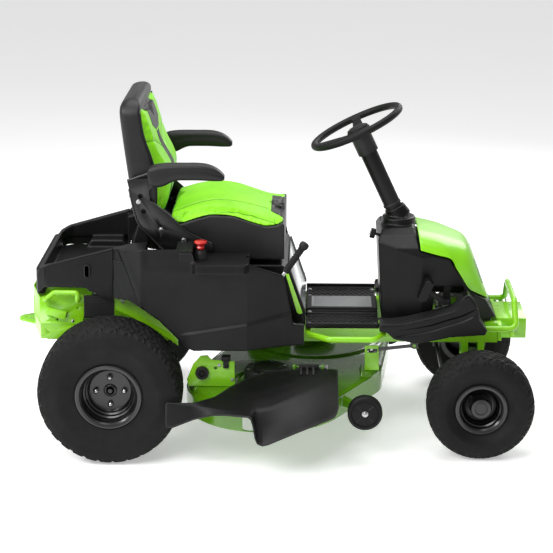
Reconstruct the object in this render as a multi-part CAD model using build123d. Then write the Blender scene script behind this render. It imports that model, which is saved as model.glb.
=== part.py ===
"""Battery ride-on lawn tractor with a rear cargo bed and a twin-blade side-discharge deck.

Working frame: X forward from the rear axle, Y to the operator's left, Z up from the ground, in mm.
The finished parts are moved so that the origin is the bottom centre of the whole machine.
"""
from build123d import *
from math import acos, cos, pi, radians, sin, tan
import os

os.makedirs("parts", exist_ok=True)

# ---------------------------------------------------------------- driving dimensions (mm)
WHEELBASE = 1302.0
REAR_TYRE_R, REAR_TYRE_W, REAR_WHEEL_Y = 254.0, 200.0, 435.0
FRONT_TYRE_R, FRONT_TYRE_W, FRONT_WHEEL_Y = 190.5, 150.0, 392.0
REAR_BEAD_R, FRONT_BEAD_R = 101.6, 76.2
HITCH_TIP_X, HITCH_Z, HITCH_PLATE, HITCH_HOLE_R = -388.0, 377.0, 6.0, 8.0
CHUTE_EDGE_Y, LEFT_DECK_Y = -668.0, 555.0

RAIL_Y0, RAIL_Y1, RAIL_Z0, RAIL_Z1 = 130.0, 160.0, 345.0, 418.0
RAIL_X0, RAIL_X1 = -262.0, 1380.0
AXLE_X, AXLE_PIVOT_Z, KINGPIN_Y, KINGPIN_R = WHEELBASE, 260.0, 270.0, 11.0
STEER_ARM = 110.0
TILT = 25.0                                   # steering column, degrees from vertical
WHEEL_X, WHEEL_Z, RIM_R, RIM_TUBE = 863.0, 1109.0, 167.0, 13.0
GEAR_MODULE, PINION_TEETH, SECTOR_TEETH = 3.5, 10, 60
SHAFT_R, FIT = 10.0, 0.05
DECK_RIM_Z, DECK_TOP_Z, LOBE_R, SHEET = 138.0, 235.0, 290.0, 4.0
BLADE_RIGHT, BLADE_LEFT, BLADE_R = (545.0, -265.0), (715.0, 265.0), 262.0
GAUGE_R, GAUGE_W = 61.0, 40.0
GAUGE_RIGHT, GAUGE_LEFT = (893.0, -480.0, 190.0), (1012.0, 466.0, 190.0)
CHUTE_HINGE = (-330.0, 305.0)                 # Y, Z of the deflector hinge
SEAT_HINGE = (590.0, 684.0)                   # X, Z of the seat's tilt hinge
ARM_PIVOT = (160.0, 985.0)                    # X, Z of the armrest pivots
LEVER_PIVOT, LEVER_Y = (505.0, 489.0), -305.0
PEDAL_PIVOT = (1178.0, 620.0)
LINK_PIVOT, LINK_END, LINK_Y = (1080.0, 328.0), (924.0, 310.0), -150.0
KNOB_AT = (316.0, -330.0, 731.0)
DASH_KNOB_AT = (936.0, -100.0, 735.0)
KNOB_BACK = Vector(-cos(radians(14)), 0, sin(radians(14)))
SIDES = (("right", -1), ("left", 1))

nodes = {}


# ---------------------------------------------------------------- geometry helpers
def box(x0, x1, y0, y1, z0, z1):
    middle = ((x0 + x1) / 2, (y0 + y1) / 2, (z0 + z1) / 2)
    return Pos(*middle) * Box(abs(x1 - x0), abs(y1 - y0), abs(z1 - z0))


def slab_xz(points, y0, y1):
    """Side-view outline (x, z) with thickness from y0 to y1."""
    face = make_face(Polyline([(x, 0, z) for x, z in points], close=True))
    return Pos(0, min(y0, y1), 0) * extrude(face, abs(y1 - y0), dir=(0, 1, 0))


def slab_xy(points, z0, z1):
    """Plan outline (x, y) with height from z0 to z1."""
    face = make_face(Polyline([(x, y, z0) for x, y in points], close=True))
    return extrude(face, z1 - z0, dir=(0, 0, 1))


def rod(start, end, radius):
    direction = Vector(*end) - Vector(*start)
    return extrude(Plane(origin=start, z_dir=direction) * Circle(radius), direction.length)


def tube(points, bend, radius):
    """Round bar bent through the points."""
    path = FilletPolyline(points, radius=bend)
    return sweep(Plane(origin=path @ 0, z_dir=path % 0) * Circle(radius), path=path)


def turned(profile, centre, side):
    """Body turned about a wheel axle: profile is (radius, outward distance)."""
    face = make_face(Polyline([(r, y * side, 0) for r, y in profile], close=True))
    return Pos(*centre) * revolve(face, Axis.Y, 360)


def mirror_y(shape):
    return mirror(shape, about=Plane.XZ)


def both(shape):
    return shape + mirror_y(shape)


def half(shape, side):
    """Copy of a right-hand piece for the named side."""
    return shape if side < 0 else mirror_y(shape)


def ring_of(count, radius, phase=0.0):
    return [(radius * cos(radians(phase + k * 360 / count)), radius * sin(radians(phase + k * 360 / count)))
            for k in range(count)]


def arched(crown, inset):
    """Block under a rounded roof line, given as (half width, height) points from the eaves to the ridge."""
    roof = [(-y, z) for y, z in crown] + [(y, z) for y, z in crown[-2::-1]]
    line = [(-crown[0][0], 300)] + roof + [(crown[0][0], 300)]
    face = offset(make_face(Polyline([(900, y, z) for y, z in line], close=True)), -inset)
    return extrude(face, 500, dir=(1, 0, 0))


def skin(profile, stations, crown, inset, drop):
    """Hollow cover: side outline cut by a plan outline and a roof line, opened below."""
    body = slab_xz(profile, -400, 400) & slab_xy(stations, 300, 1000) & arched(crown, 0)
    inner_plan = offset(make_face(Polyline([(x, y, 300) for x, y in stations], close=True)), -inset)
    inner_side = offset(make_face(Polyline([(x, 0, z) for x, z in profile], close=True)), -inset)
    core = extrude(inner_plan, 700, dir=(0, 0, 1))
    core &= Pos(0, -400, 0) * extrude(inner_side, 800, dir=(0, 1, 0))
    core &= arched(crown, inset)
    return body - core - Pos(*drop) * core


# ---------------------------------------------------------------- steering frame
STEER_UP = Vector(-sin(radians(TILT)), 0, cos(radians(TILT)))
STEER_AHEAD = Vector(cos(radians(TILT)), 0, sin(radians(TILT)))
PINION_DROP = 749.0                           # distance from wheel centre to pinion along the shaft
WHEEL_CENTRE = Vector(WHEEL_X, 0, WHEEL_Z)
PINION_CENTRE = WHEEL_CENTRE - STEER_UP * PINION_DROP
GEAR_SPACING = GEAR_MODULE * (SECTOR_TEETH - PINION_TEETH) / 2
SECTOR_CENTRE = PINION_CENTRE - STEER_AHEAD * GEAR_SPACING
ARM_END = SECTOR_CENTRE - STEER_AHEAD * STEER_ARM
KNUCKLE_X, KNUCKLE_Z = AXLE_X - STEER_ARM, 209.0
SECTOR_T = 8.0


def steer_plane(point):
    return Plane(origin=point, x_dir=STEER_AHEAD, z_dir=STEER_UP)


def involute(angle):
    return tan(angle) - angle


def gear_tooth(teeth, backlash, addendum):
    """One involute tooth pointing along +X, root to tip."""
    pitch, pressure = GEAR_MODULE * teeth / 2, radians(20)
    base = pitch * cos(pressure)
    root, tip = pitch - 1.25 * GEAR_MODULE, pitch + addendum * GEAR_MODULE
    half_pitch = (pi / 2 - backlash / GEAR_MODULE) / teeth
    flank = [(root - 2, half_pitch + involute(pressure)), (root, half_pitch + involute(pressure))]
    start = max(base, root)
    for k in range(7):
        r = start + (tip - start) * k / 6
        flank.append((r, half_pitch + involute(pressure) - involute(acos(min(1.0, base / r)))))
    points = [(r * cos(a), -r * sin(a), 0) for r, a in flank]
    points += [(r * cos(a), r * sin(a), 0) for r, a in reversed(flank)]
    return make_face(Polyline(points, close=True))


# ---------------------------------------------------------------- wheels
def tyre_profile(radius, width, bead, flange, bead_w):
    """Closed section (radius, offset) of a tubeless turf tyre, from one bead over the crown to the other."""
    w, b = width / 2, bead_w / 2
    side_r = bead + (radius - bead) * 0.52
    outer = [(bead, b), (flange + 1.5, b), (side_r - 12, w - 1.5), (side_r, w), (side_r + 14, w - 1),
             (radius - 17, w - 9), (radius - 7, w - 19), (radius - 1.5, w * 0.5), (radius, w * 0.16)]
    inner = [(radius - 16, w * 0.4), (radius - 26, w - 26), (side_r, w - 9), (flange + 2, b - 9), (bead, b - 12)]
    far_outer = [(r, -y) for r, y in outer]
    far_inner = [(r, -y) for r, y in inner]
    return far_outer + outer[::-1] + inner[::-1] + far_inner


def rear_wheel(name, side):
    centre = (0, side * REAR_WHEEL_Y, REAR_TYRE_R)
    nodes[f"rear_tyre_{name}"] = turned(
        tyre_profile(REAR_TYRE_R, REAR_TYRE_W, REAR_BEAD_R, 115, 165.4), centre, side)
    rim_r, flange, edge = REAR_BEAD_R - 0.2, 115.0, 88.0
    rim = turned([(rim_r - 4, -edge), (flange, -edge), (flange, -edge + 3), (rim_r, -edge + 5),
                  (rim_r, edge - 5), (flange, edge - 3), (flange, edge), (rim_r - 4, edge)], centre, side)
    rim += turned([(22, 8), (75, 8), (rim_r - 3, 28), (rim_r - 3, 34), (73, 13), (22, 13)], centre, side)
    holes = [rod((x, side * (REAR_WHEEL_Y - 5), REAR_TYRE_R + z), (x, side * (REAR_WHEEL_Y + 30), REAR_TYRE_R + z),
                 6.3) for x, z in ring_of(4, 50)]
    nodes[f"rear_rim_{name}"] = rim - holes
    hub_y = side * REAR_WHEEL_Y
    axle = rod((0, side * 92, REAR_TYRE_R), (0, hub_y + side * 20, REAR_TYRE_R), SHAFT_R + 5)
    axle += rod((0, hub_y - side * 6, REAR_TYRE_R), (0, hub_y + side * 7.8, REAR_TYRE_R), 62)
    nodes[f"rear_axle_{name}"] = axle
    nuts = Part()
    for x, z in ring_of(4, 50):
        start = (x, hub_y + side * 13.2, REAR_TYRE_R + z)
        nuts += rod((x, hub_y + side * 7.9, REAR_TYRE_R + z), (x, hub_y + side * 30, REAR_TYRE_R + z), 6)
        nuts += extrude(Plane(origin=start, z_dir=(0, side, 0)) * RegularPolygon(11, 6), 11)
    nodes[f"rear_lug_nuts_{name}"] = nuts


def front_wheel(name, side):
    centre = (AXLE_X, side * FRONT_WHEEL_Y, FRONT_TYRE_R)
    nodes[f"front_tyre_{name}"] = turned(
        tyre_profile(FRONT_TYRE_R, FRONT_TYRE_W, FRONT_BEAD_R, 90, 105.4), centre, side)
    rim_r, flange, edge = FRONT_BEAD_R - 0.2, 90.0, 58.0
    rim = turned([(rim_r - 3, -edge), (flange, -edge), (flange, -edge + 3), (rim_r, -edge + 5),
                  (rim_r, edge - 5), (flange, edge - 3), (flange, edge), (rim_r - 3, edge)], centre, side)
    stub = SHAFT_R + 2.5
    rim += turned([(stub + FIT, -44), (24, -44), (24, -8), (58, -2), (rim_r - 2, 12), (rim_r - 2, 17),
                   (56, 3), (38, 0), (38, 46), (30, 54), (0, 54), (0, 47), (stub + FIT, 47)], centre, side)
    nodes[f"front_rim_{name}"] = rim


# ---------------------------------------------------------------- front axle and steering
def axle_beam():
    beam = box(AXLE_X - 17, AXLE_X + 17, -KINGPIN_Y + 18, KINGPIN_Y - 18, AXLE_PIVOT_Z - 22, AXLE_PIVOT_Z + 22)
    beam += rod((AXLE_X - 17, 0, AXLE_PIVOT_Z), (AXLE_X + 17, 0, AXLE_PIVOT_Z), 30)
    for side in (-1, 1):
        y = side * KINGPIN_Y
        beam += rod((AXLE_X, y, AXLE_PIVOT_Z - 34), (AXLE_X, y, AXLE_PIVOT_Z + 34), 23)
        beam -= rod((AXLE_X, y, 200), (AXLE_X, y, 320), KINGPIN_R + FIT)
    beam -= rod((AXLE_X - 40, 0, AXLE_PIVOT_Z), (AXLE_X + 40, 0, AXLE_PIVOT_Z), SHAFT_R + FIT)
    nodes["axle_beam"] = beam


def spindle(name, side):
    y = side * KINGPIN_Y
    part = rod((AXLE_X, y, 178), (AXLE_X, y, AXLE_PIVOT_Z + 44), KINGPIN_R)
    part += rod((AXLE_X, y, 174), (AXLE_X, y, AXLE_PIVOT_Z - 35), 20)
    part += rod((AXLE_X, y, AXLE_PIVOT_Z + 35), (AXLE_X, y, AXLE_PIVOT_Z + 44), 19)
    part += rod((AXLE_X, y, FRONT_TYRE_R), (AXLE_X, side * (FRONT_WHEEL_Y + 42), FRONT_TYRE_R), SHAFT_R + 2.5)
    part += slab_xy([(AXLE_X, y - 16), (AXLE_X, y + 16), (KNUCKLE_X, y + 11), (KNUCKLE_X - 11, y),
                     (KNUCKLE_X, y - 11)], KNUCKLE_Z - 4, KNUCKLE_Z + 4)
    reach = 43 if side > 0 else 5
    part += rod((KNUCKLE_X, y, KNUCKLE_Z - 22), (KNUCKLE_X, y, KNUCKLE_Z + reach), 6)
    nodes[f"spindle_{name}"] = part


def tie_rod():
    z = KNUCKLE_Z - 14
    part = rod((KNUCKLE_X, -KINGPIN_Y + 12, z), (KNUCKLE_X, KINGPIN_Y - 12, z), 7)
    for y, play in ((KINGPIN_Y, FIT), (-KINGPIN_Y, 1.0)):
        part += rod((KNUCKLE_X, y, z - 8), (KNUCKLE_X, y, z + 8), 14)
        part -= rod((KNUCKLE_X, y, z - 20), (KNUCKLE_X, y, z + 20), 6 + play)
    nodes["tie_rod"] = part


def drag_link():
    """Rod from the sector's arm to the left knuckle; its knuckle eye is the linkage's open pivot."""
    front = Vector(KNUCKLE_X, KINGPIN_Y, KNUCKLE_Z + 26)
    back = ARM_END - STEER_UP * 14
    link = rod(tuple(back), tuple(front), 6.5)
    link += rod(tuple(back - STEER_UP * 7), tuple(back + STEER_UP * 7), 13)
    link += rod((front.X, front.Y, front.Z - 6), (front.X, front.Y, front.Z + 8), 17)
    link -= rod((front.X, front.Y, front.Z - 40), (front.X, front.Y, front.Z + 40), 13)
    link -= rod(tuple(back - STEER_UP * 30), tuple(back + STEER_UP * 30), 6 + FIT)
    nodes["drag_link"] = link


def arc_points(radius, half_angle, steps):
    angles = [radians(-half_angle + 2 * half_angle * k / steps) for k in range(steps + 1)]
    return [(radius * cos(a), radius * sin(a), 0) for a in angles]


def sector_gear():
    """Plate with an inside-toothed rim that wraps the pinion, and an arm for the drag link."""
    frame = steer_plane(SECTOR_CENTRE - STEER_UP * (SECTOR_T / 2))
    pitch = GEAR_MODULE * SECTOR_TEETH / 2
    reach, window = 54, 44
    plate = make_face(Polyline([(0, 0, 0)] + arc_points(pitch + 14, reach, 18), close=True)) + Circle(30)
    opening = arc_points(pitch - 0.6 * GEAR_MODULE, window, 16) + arc_points(40, window, 8)[::-1]
    plate -= make_face(Polyline(opening, close=True))
    for k in range(-7, 8):
        plate -= Rot(0, 0, k * 360 / SECTOR_TEETH) * gear_tooth(SECTOR_TEETH, -0.7, 1.2)
    plate += make_face(Polyline([(0, -24, 0), (0, 24, 0), (-STEER_ARM, 13, 0), (-STEER_ARM, -13, 0)], close=True))
    plate += Pos(-STEER_ARM, 0) * Circle(13)
    body = extrude(frame * plate, SECTOR_T, dir=STEER_UP)
    body -= rod(tuple(SECTOR_CENTRE - STEER_UP * 20), tuple(SECTOR_CENTRE + STEER_UP * 20), SHAFT_R + FIT)
    body += rod(tuple(ARM_END - STEER_UP * 23), tuple(ARM_END), 6)
    nodes["sector_gear"] = body


def steering_shaft():
    face = Circle(GEAR_MODULE * PINION_TEETH / 2 - 1.25 * GEAR_MODULE)
    for k in range(PINION_TEETH):
        face += Rot(0, 0, k * 360 / PINION_TEETH) * gear_tooth(PINION_TEETH, 0.7, 0.9)
    pinion = extrude(steer_plane(PINION_CENTRE - STEER_UP * 7) * face, 14, dir=STEER_UP)
    shaft = rod(tuple(PINION_CENTRE - STEER_UP * 14), tuple(WHEEL_CENTRE - STEER_UP * 12), SHAFT_R - FIT)
    nodes["steering_shaft"] = shaft + pinion


def steering_wheel():
    rim = steer_plane(WHEEL_CENTRE) * Torus(RIM_R, RIM_TUBE)
    frame = steer_plane(WHEEL_CENTRE - STEER_UP * 34)
    hub = frame * extrude(Circle(44), 22)
    hub += frame * Pos(0, 0, 22) * extrude(Ellipse(40, 34), 8)
    spokes = Part()
    arm = make_face(Polyline([(30, -22, 3), (RIM_R, -15, 25), (RIM_R, 15, 25), (30, 22, 3)], close=True))
    for angle in (90, -90, 180):
        spokes += frame * (Rot(0, 0, angle) * extrude(arm, 10, dir=(0, 0, 1)))
    body = rim + hub + spokes
    body -= rod(tuple(WHEEL_CENTRE - STEER_UP * 60), tuple(WHEEL_CENTRE - STEER_UP * 12), SHAFT_R)
    nodes["steering_wheel"] = body


def steering_column():
    top = WHEEL_CENTRE - STEER_UP * 40
    base = WHEEL_CENTRE - STEER_UP * 402
    part = rod(tuple(base), tuple(top), 31)
    part += rod(tuple(WHEEL_CENTRE - STEER_UP * 104), tuple(top), 38)
    part -= rod(tuple(base - STEER_UP * 5), tuple(top - STEER_UP * 22), 24)
    part -= rod(tuple(base - STEER_UP * 5), tuple(top + STEER_UP * 5), SHAFT_R)
    nodes["steering_column"] = part


def column_collar():
    """Cone and oval foot that carry the column on the dash."""
    axis_x = WHEEL_X + (WHEEL_Z - 770) * tan(radians(TILT))
    foot = Pos(axis_x, 0, 750) * extrude(Ellipse(64, 72), 30, taper=8)
    low = Vector(axis_x, 0, 776)
    cone = loft([Plane(origin=low, z_dir=STEER_UP) * Circle(48),
                 Plane(origin=low + STEER_UP * 40, z_dir=STEER_UP) * Circle(38)])
    return foot + cone


# ---------------------------------------------------------------- chassis
def main_frame():
    bore = box(RAIL_X0 - 5, RAIL_X1 + 5, RAIL_Y0 + SHEET, RAIL_Y1 - SHEET, RAIL_Z0 + SHEET, RAIL_Z1 - SHEET)
    frame = both(box(RAIL_X0, RAIL_X1, RAIL_Y0, RAIL_Y1, RAIL_Z0, RAIL_Z1) - bore)
    for x in (RAIL_X0, 262, 640, 1200):
        frame += box(x, x + 40, -RAIL_Y0, RAIL_Y0, RAIL_Z0, RAIL_Z0 + 14)
    for x, foot in ((AXLE_X - 46, (8, 28)), (AXLE_X + 18, (0, 20))):
        leg = [(x, RAIL_Z0 + 4), (x + 28, RAIL_Z0 + 4), (x + foot[1], 232), (x + foot[0], 232)]
        frame += slab_xz(leg, -60, 60)
        frame += box(x, x + 28, -RAIL_Y0, RAIL_Y0, RAIL_Z0, RAIL_Z0 + 14)
    frame += rod((AXLE_X - 44, 0, AXLE_PIVOT_Z), (AXLE_X + 44, 0, AXLE_PIVOT_Z), SHAFT_R)
    drops = box(-42, 42, RAIL_Y0 + 6, RAIL_Y1 - 6, REAR_TYRE_R, RAIL_Z0 + 2)
    frame += both(drops - rod((0, 0, REAR_TYRE_R), (0, 400, REAR_TYRE_R), 35.2))
    carrier = extrude(Rectangle(64, 2 * RAIL_Y0 + 6), 6)
    frame += steer_plane(SECTOR_CENTRE + STEER_UP * (SECTOR_T / 2 + 1.5)) * carrier
    frame += rod(tuple(SECTOR_CENTRE - STEER_UP * (SECTOR_T / 2 + 4)), tuple(SECTOR_CENTRE + STEER_UP * 8), SHAFT_R)
    frame += both(box(676, 982, RAIL_Y1, RAIL_Y1 + 14, RAIL_Z1 - 30, RAIL_Z1))
    frame += both(box(200, 330, RAIL_Y1, 236, RAIL_Z1 - 18, RAIL_Z1 - 12))
    frame += box(LINK_PIVOT[0] - 14, LINK_PIVOT[0] + 14, -RAIL_Y0 - 8, -RAIL_Y0 - 2, 314, RAIL_Z0 + 2)
    frame += rod((LINK_PIVOT[0], -RAIL_Y0 - 2, LINK_PIVOT[1]), (LINK_PIVOT[0], LINK_Y - 6, LINK_PIVOT[1]), 6)
    nodes["main_frame"] = frame


def rear_frame_box():
    plan = [(-110, -270), (-266, -270), (-312, -120), (-312, 120), (-266, 270), (-110, 270)]
    inner = [(-100, -266), (-263, -266), (-308, -118), (-308, 118), (-263, 266), (-100, 266)]
    side = [(-330, 384), (-185, 384), (-118, 440), (-110, 470), (-110, 549), (-236, 549), (-262, 539), (-330, 539)]
    wall = (slab_xy(plan, 380, 549) - slab_xy(inner, 370, 560)) & slab_xz(side, -300, 300)
    fold = slab_xy([(-112, -272), (-268, -272), (-314, -121), (-314, 121), (-268, 272), (-112, 272)], 440, 444)
    wall += (fold - slab_xy(inner, 430, 450)) & slab_xz(side, -300, 300)
    for x, z in ((-240, 410), (-132, 500), (-205, 455)):
        wall -= rod((x, -280, z), (x, 280, z), 4)
    arch = [(-110.5, 549), (0, 545), (62, 525), (140, 470), (226, 402), (226, 360), (196, 385),
            (120, 436), (40, 478), (-10, 500), (-110.5, 500)]
    wall += both(slab_xz(arch, 266, 270))
    wall += box(-312, -RAIL_Y0, -126, -122, 420, 500) + box(-312, -RAIL_Y0, 122, 126, 420, 500)
    wall += both(box(206, 216, RAIL_Y1, 267, 372, 396))
    nodes["rear_frame_box"] = wall


def tow_hitch():
    plate = slab_xy([(HITCH_TIP_X + 22, -38), (HITCH_TIP_X + 22, 38), (-316, 75), (-240, 75),
                     (-240, -75), (-316, -75)], HITCH_Z - HITCH_PLATE / 2, HITCH_Z + HITCH_PLATE / 2)
    nose = [(HITCH_TIP_X + 22 - 22 * sin(radians(a)), -38 * cos(radians(a))) for a in range(0, 181, 15)]
    plate += slab_xy(nose, HITCH_Z - HITCH_PLATE / 2, HITCH_Z + HITCH_PLATE / 2)
    x = HITCH_TIP_X + 30
    nodes["tow_hitch"] = plate - rod((x, 0, HITCH_Z - 10), (x, 0, HITCH_Z + 10), HITCH_HOLE_R)


def tie_down_handles():
    points = [(-242, -270.1, 538), (-242, -302, 538), (-208, -302, 566), (-126, -302, 566), (-126, -302, 534),
              (-126, -270.1, 534)]
    nodes["tie_down_handles"] = both(tube(points, 10.5, 9.5))


def side_steps():
    points = [(692, -174.5, 405), (692, -262, 405), (768, -330, 407), (928, -330, 407), (962, -262, 405),
              (962, -174.5, 405)]
    nodes["side_steps"] = both(tube(points, 26, 11))


def front_bumper():
    points = [(1326, -195, 408), (1443, -195, 408), (1441, -122, 495), (1441, 122, 495), (1443, 195, 408),
              (1326, 195, 408)]
    hoop = tube(points, 24, 11)
    stays = both(box(1326, 1350, -200, -RAIL_Y1, 398, 406))
    channel = box(1381, 1490, -105, 105, 345, 420) - box(1385, 1500, -101, 101, 349, 416)
    channel += box(1479, 1490, -101, 101, 349, 416)
    uprights = both(box(1431, 1443, -150, -105, 380, 392) + box(1420, 1436, -200, -150, 380, 397.5))
    for y, z in ((-60, 365), (60, 365), (-60, 400), (60, 400)):
        channel -= rod((1470, y, z), (1500, y, z), 5.5)
    side_ears = both(box(1381, 1395, -164, -105, 352, 412))
    nodes["front_bumper"] = hoop + stays + channel + uprights + side_ears


def transaxle():
    body = box(-70, 78, -90, 90, 196, 320) + box(60, 150, -52, 52, 210, 330)
    body += rod((0, -300, REAR_TYRE_R), (0, 300, REAR_TYRE_R), 35)
    body -= rod((0, -310, REAR_TYRE_R), (0, -88, REAR_TYRE_R), SHAFT_R + 5 + FIT)
    body -= rod((0, 310, REAR_TYRE_R), (0, 88, REAR_TYRE_R), SHAFT_R + 5 + FIT)
    for y in (-40, 0, 40):
        body += box(-78, -70, y - 4, y + 4, 206, 310)
    nodes["transaxle"] = body


def battery_packs():
    packs = Part()
    for x in (308, 430):
        for y in (-170, -56, 58):
            pack = box(x, x + 112, y, y + 106, 448, 600)
            pack += box(x + 20, x + 92, y + 38, y + 68, 600, 622)
            packs += pack
    nodes["battery_packs"] = packs + box(300, 550, -180, 180, 440, 447.9)


# ---------------------------------------------------------------- body mouldings
def cargo_bed():
    plan = [(2, -308), (-120, -302), (-236, -294), (-272, -272), (-282, -230), (-282, 230), (-272, 272),
            (-236, 294), (-120, 302), (2, 308)]
    inner = [(12, -274), (-120, -272), (-214, -268), (-244, -246), (-252, -220), (-252, 220), (-244, 246),
             (-214, 268), (-120, 272), (12, 274)]
    outline = [(-290, 541), (-278, 545), (-242, 583), (-100, 583), (-86, 572), (-10, 544), (2, 544), (2, 726),
               (-226, 664), (-262, 647), (-290, 600)]
    shell = (slab_xy(plan, 540, 760) - slab_xy(inner, 530, 770)) & slab_xz(outline, -400, 400)
    rear_fill = slab_xy([(-282, -229), (-272, -240), (-252, -240), (-252, 240), (-272, 240), (-282, 229)], 541, 640)
    cavity = offset(make_face(Polyline([(x, y, 500) for x, y in plan], close=True)), -5)
    cavity = extrude(cavity, 130, dir=(0, 0, 1)) - slab_xy([(x * 0.995, y * 0.985) for x, y in inner], 500, 700)
    shell -= cavity & box(-300, 2, -400, 400, 500, 625)
    shell += rear_fill
    floor = slab_xy([(2, -274), (-214, -270), (-246, -246), (-254, -220), (-254, 220), (-246, 246), (-214, 270),
                     (2, 274)], 584, 592)
    shell += floor
    humps = slab_xz([(-160, 590), (-140, 622), (-20, 622), (2, 600), (2, 590)], 214, 275)
    shell += both(humps)
    bulkhead = slab_xz([(0, 584), (60, 700), (86, 796), (120, 800), (124, 740), (64, 584)], -226, 226)
    bulkhead -= slab_xz([(20, 570), (66, 690), (92, 782), (112, 784), (114, 742), (58, 570)], -220, 220)
    shell += bulkhead
    shell += both(slab_xz([(1, 600), (1, 712), (60, 726), (60, 690)], 226, 272))
    shell -= both(rod((-90, -320, 652), (-90, -296, 652), 8) + rod((-90, -320, 636), (-90, -296, 636), 8)
                  + box(-98, -82, -320, -296, 636, 652))
    nodes["cargo_bed"] = shell


def fender_right_shape():
    outline = [(3, 544), (3, 727), (60, 741), (114, 748), (290, 748), (300, 706), (480, 704), (578, 660), (606, 648),
               (640, 470), (679, 464), (679, 386), (292, 386), (266, 396), (221, 440), (170, 492), (112, 533), (60, 552)]
    plan = [(3, -308), (110, -392), (290, -404), (480, -400), (600, -348), (679, -328), (679, -322),
            (606, -252), (3, -276)]
    core = [(0, -302), (112, -386), (290, -398), (478, -394), (598, -342), (679, -321), (700, -240), (0, -240)]
    body = slab_xy(plan, 380, 760) & slab_xz(outline, -420, -200)
    body -= slab_xy(core, 370, 690)
    body -= slab_xy(core, 689, 741) & box(240, 700, -420, -200, 689, 741)
    body -= box(126, 232, -376, -266, 712, 760)
    lower = [(292, 380), (292, 690), (679, 690), (679, 380)]
    ledge = slab_xy([(288, -404), (306, -432), (470, -432), (486, -400), (486, -252), (288, -252)], 672, 704)
    ledge -= slab_xy([(294, -398), (470, -398), (478, -392), (478, -240), (294, -240)], 660, 698)
    side_wall = slab_xy([(598, -348), (679, -328), (679, -322), (598, -342)], 386, 700) & slab_xz(lower, -400, -300)
    return body + ledge + (side_wall & slab_xz(outline, -420, -200))


def fenders():
    right = fender_right_shape()
    nodes["fender_left"] = mirror_y(right)
    right -= rod((KNOB_AT[0], KNOB_AT[1], 600), (KNOB_AT[0], KNOB_AT[1], 800), 9)
    right -= box(LEVER_PIVOT[0] - 30, 700, LEVER_Y - 14, LEVER_Y + 14, 560, 800)
    nodes["fender_right"] = right


def seat_pedestal():
    outline = [(130, 600), (130, 650), (180, 655), (598, 655), (618, 640), (682, 455), (682, 430), (292, 430),
               (240, 470)]
    shell = slab_xz(outline, -240, 240)
    core = offset(make_face(Polyline([(x, 0, z) for x, z in outline], close=True)), -6)
    core = Pos(0, -234, 0) * extrude(core, 468, dir=(0, 1, 0))
    shell -= core
    shell -= Pos(0, 0, -12) * core & box(300, 676, -230, 230, 400, 440)
    pin_x, pin_z = LEVER_PIVOT
    shell += rod((pin_x, -240, pin_z), (pin_x, LEVER_Y - 12, pin_z), 8)
    nodes["seat_pedestal"] = shell


def floorboard():
    x0, x1 = 684, 946
    board = both(slab_xz([(x0, 424), (x1, 424), (x1, 429), (x0, 429)], 78, 252))
    board += slab_xz([(x0, 424), (x1, 424), (x1, 448), (x0, 448)], -80, 80)
    board -= slab_xz([(x0 - 5, 420), (x1 + 5, 420), (x1 + 5, 443), (x0 - 5, 443)], -76, 76)
    board += both(slab_xz([(x0, 424), (x1, 424), (x1, 444), (x0, 444)], 246, 256))
    board += both(slab_xz([(x0, 429), (x1, 429), (x1, 438), (x0, 438)], 80, 112))
    nodes["floorboard"] = board


def front_fender_right():
    skirt = [(946.5, 424), (946.5, 446), (1030, 450), (1146, 478), (1215, 502), (1240, 545), (1262, 556),
             (1288, 522), (1300, 470), (1330, 430), (1322, 414), (1200, 405), (1148, 393), (1077, 380), (1000, 396),
             (972, 421)]
    tread = [(946.5, 424), (946.5, 429), (1100, 450), (1200, 478), (1245, 534), (1252, 530), (1208, 472), (1104, 443)]
    part = slab_xz(skirt, -292, -284) + slab_xz(tread, -286, -196)
    front = [(1240, 545), (1262, 556), (1288, 522), (1300, 470), (1330, 430), (1300, 430), (1284, 470), (1249, 520)]
    return part + slab_xz(front, -292, -196)


def front_fenders():
    nodes["front_fenders"] = both(front_fender_right())


TOWER_SIDE = [(958, 430), (942, 720), (956, 752), (1072, 763), (1092, 694), (1200, 663), (1268, 547), (1336, 502),
              (1378, 428)]
TOWER_CROWN = [(195, 640), (190, 672), (176, 700), (130, 738), (90, 756), (0, 763)]
HOOD_CROWN = [(195, 680), (188, 698), (172, 716), (140, 732), (90, 740), (0, 743)]
TOWER_PLAN = [(930, -150), (1010, -176), (1100, -190), (1290, -180), (1380, -120), (1380, 120), (1290, 180),
              (1100, 190), (1010, 176), (930, 150)]


def console_tower():
    tower = skin(TOWER_SIDE, TOWER_PLAN, TOWER_CROWN, 5, (0, 0, -20)) + column_collar()
    start = WHEEL_CENTRE - STEER_UP * 500
    tower -= rod(tuple(start), tuple(WHEEL_CENTRE - STEER_UP * 200), 31.2)
    for side in (-1, 1):
        tower -= box(1142, 1252, side * 160, side * 200, 462, 562)
    knob = Vector(*DASH_KNOB_AT)
    tower -= rod(tuple(knob), tuple(knob - KNOB_BACK * 30), 5.2)
    tower -= both(box(1366, 1390, -175, -125, 340, 430))
    px, pz = PEDAL_PIVOT
    tower += rod((px, -183, pz), (px, 183, pz), 8)
    nodes["console_tower"] = tower


def hood():
    side = [(1087, 742), (1170, 722), (1259, 692), (1288, 650), (1349, 487), (1337, 505), (1269, 550),
            (1201, 666), (1093.5, 697), (1084, 728)]
    plan = [(1080, -185), (1100, -190.5), (1200, -187), (1290, -170), (1356, -112), (1356, 112), (1290, 170),
            (1200, 187), (1100, 190.5), (1080, 185)]
    nodes["hood"] = skin(side, plan, HOOD_CROWN, 4, (-12, 0, -6))


def headlamps():
    lamp = slab_xz([(1280, 640), (1314, 550), (1328, 555), (1294, 645)], -105, -40)
    nodes["headlamps"] = both(lamp)
    nodes["hood"] -= nodes["headlamps"]


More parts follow.
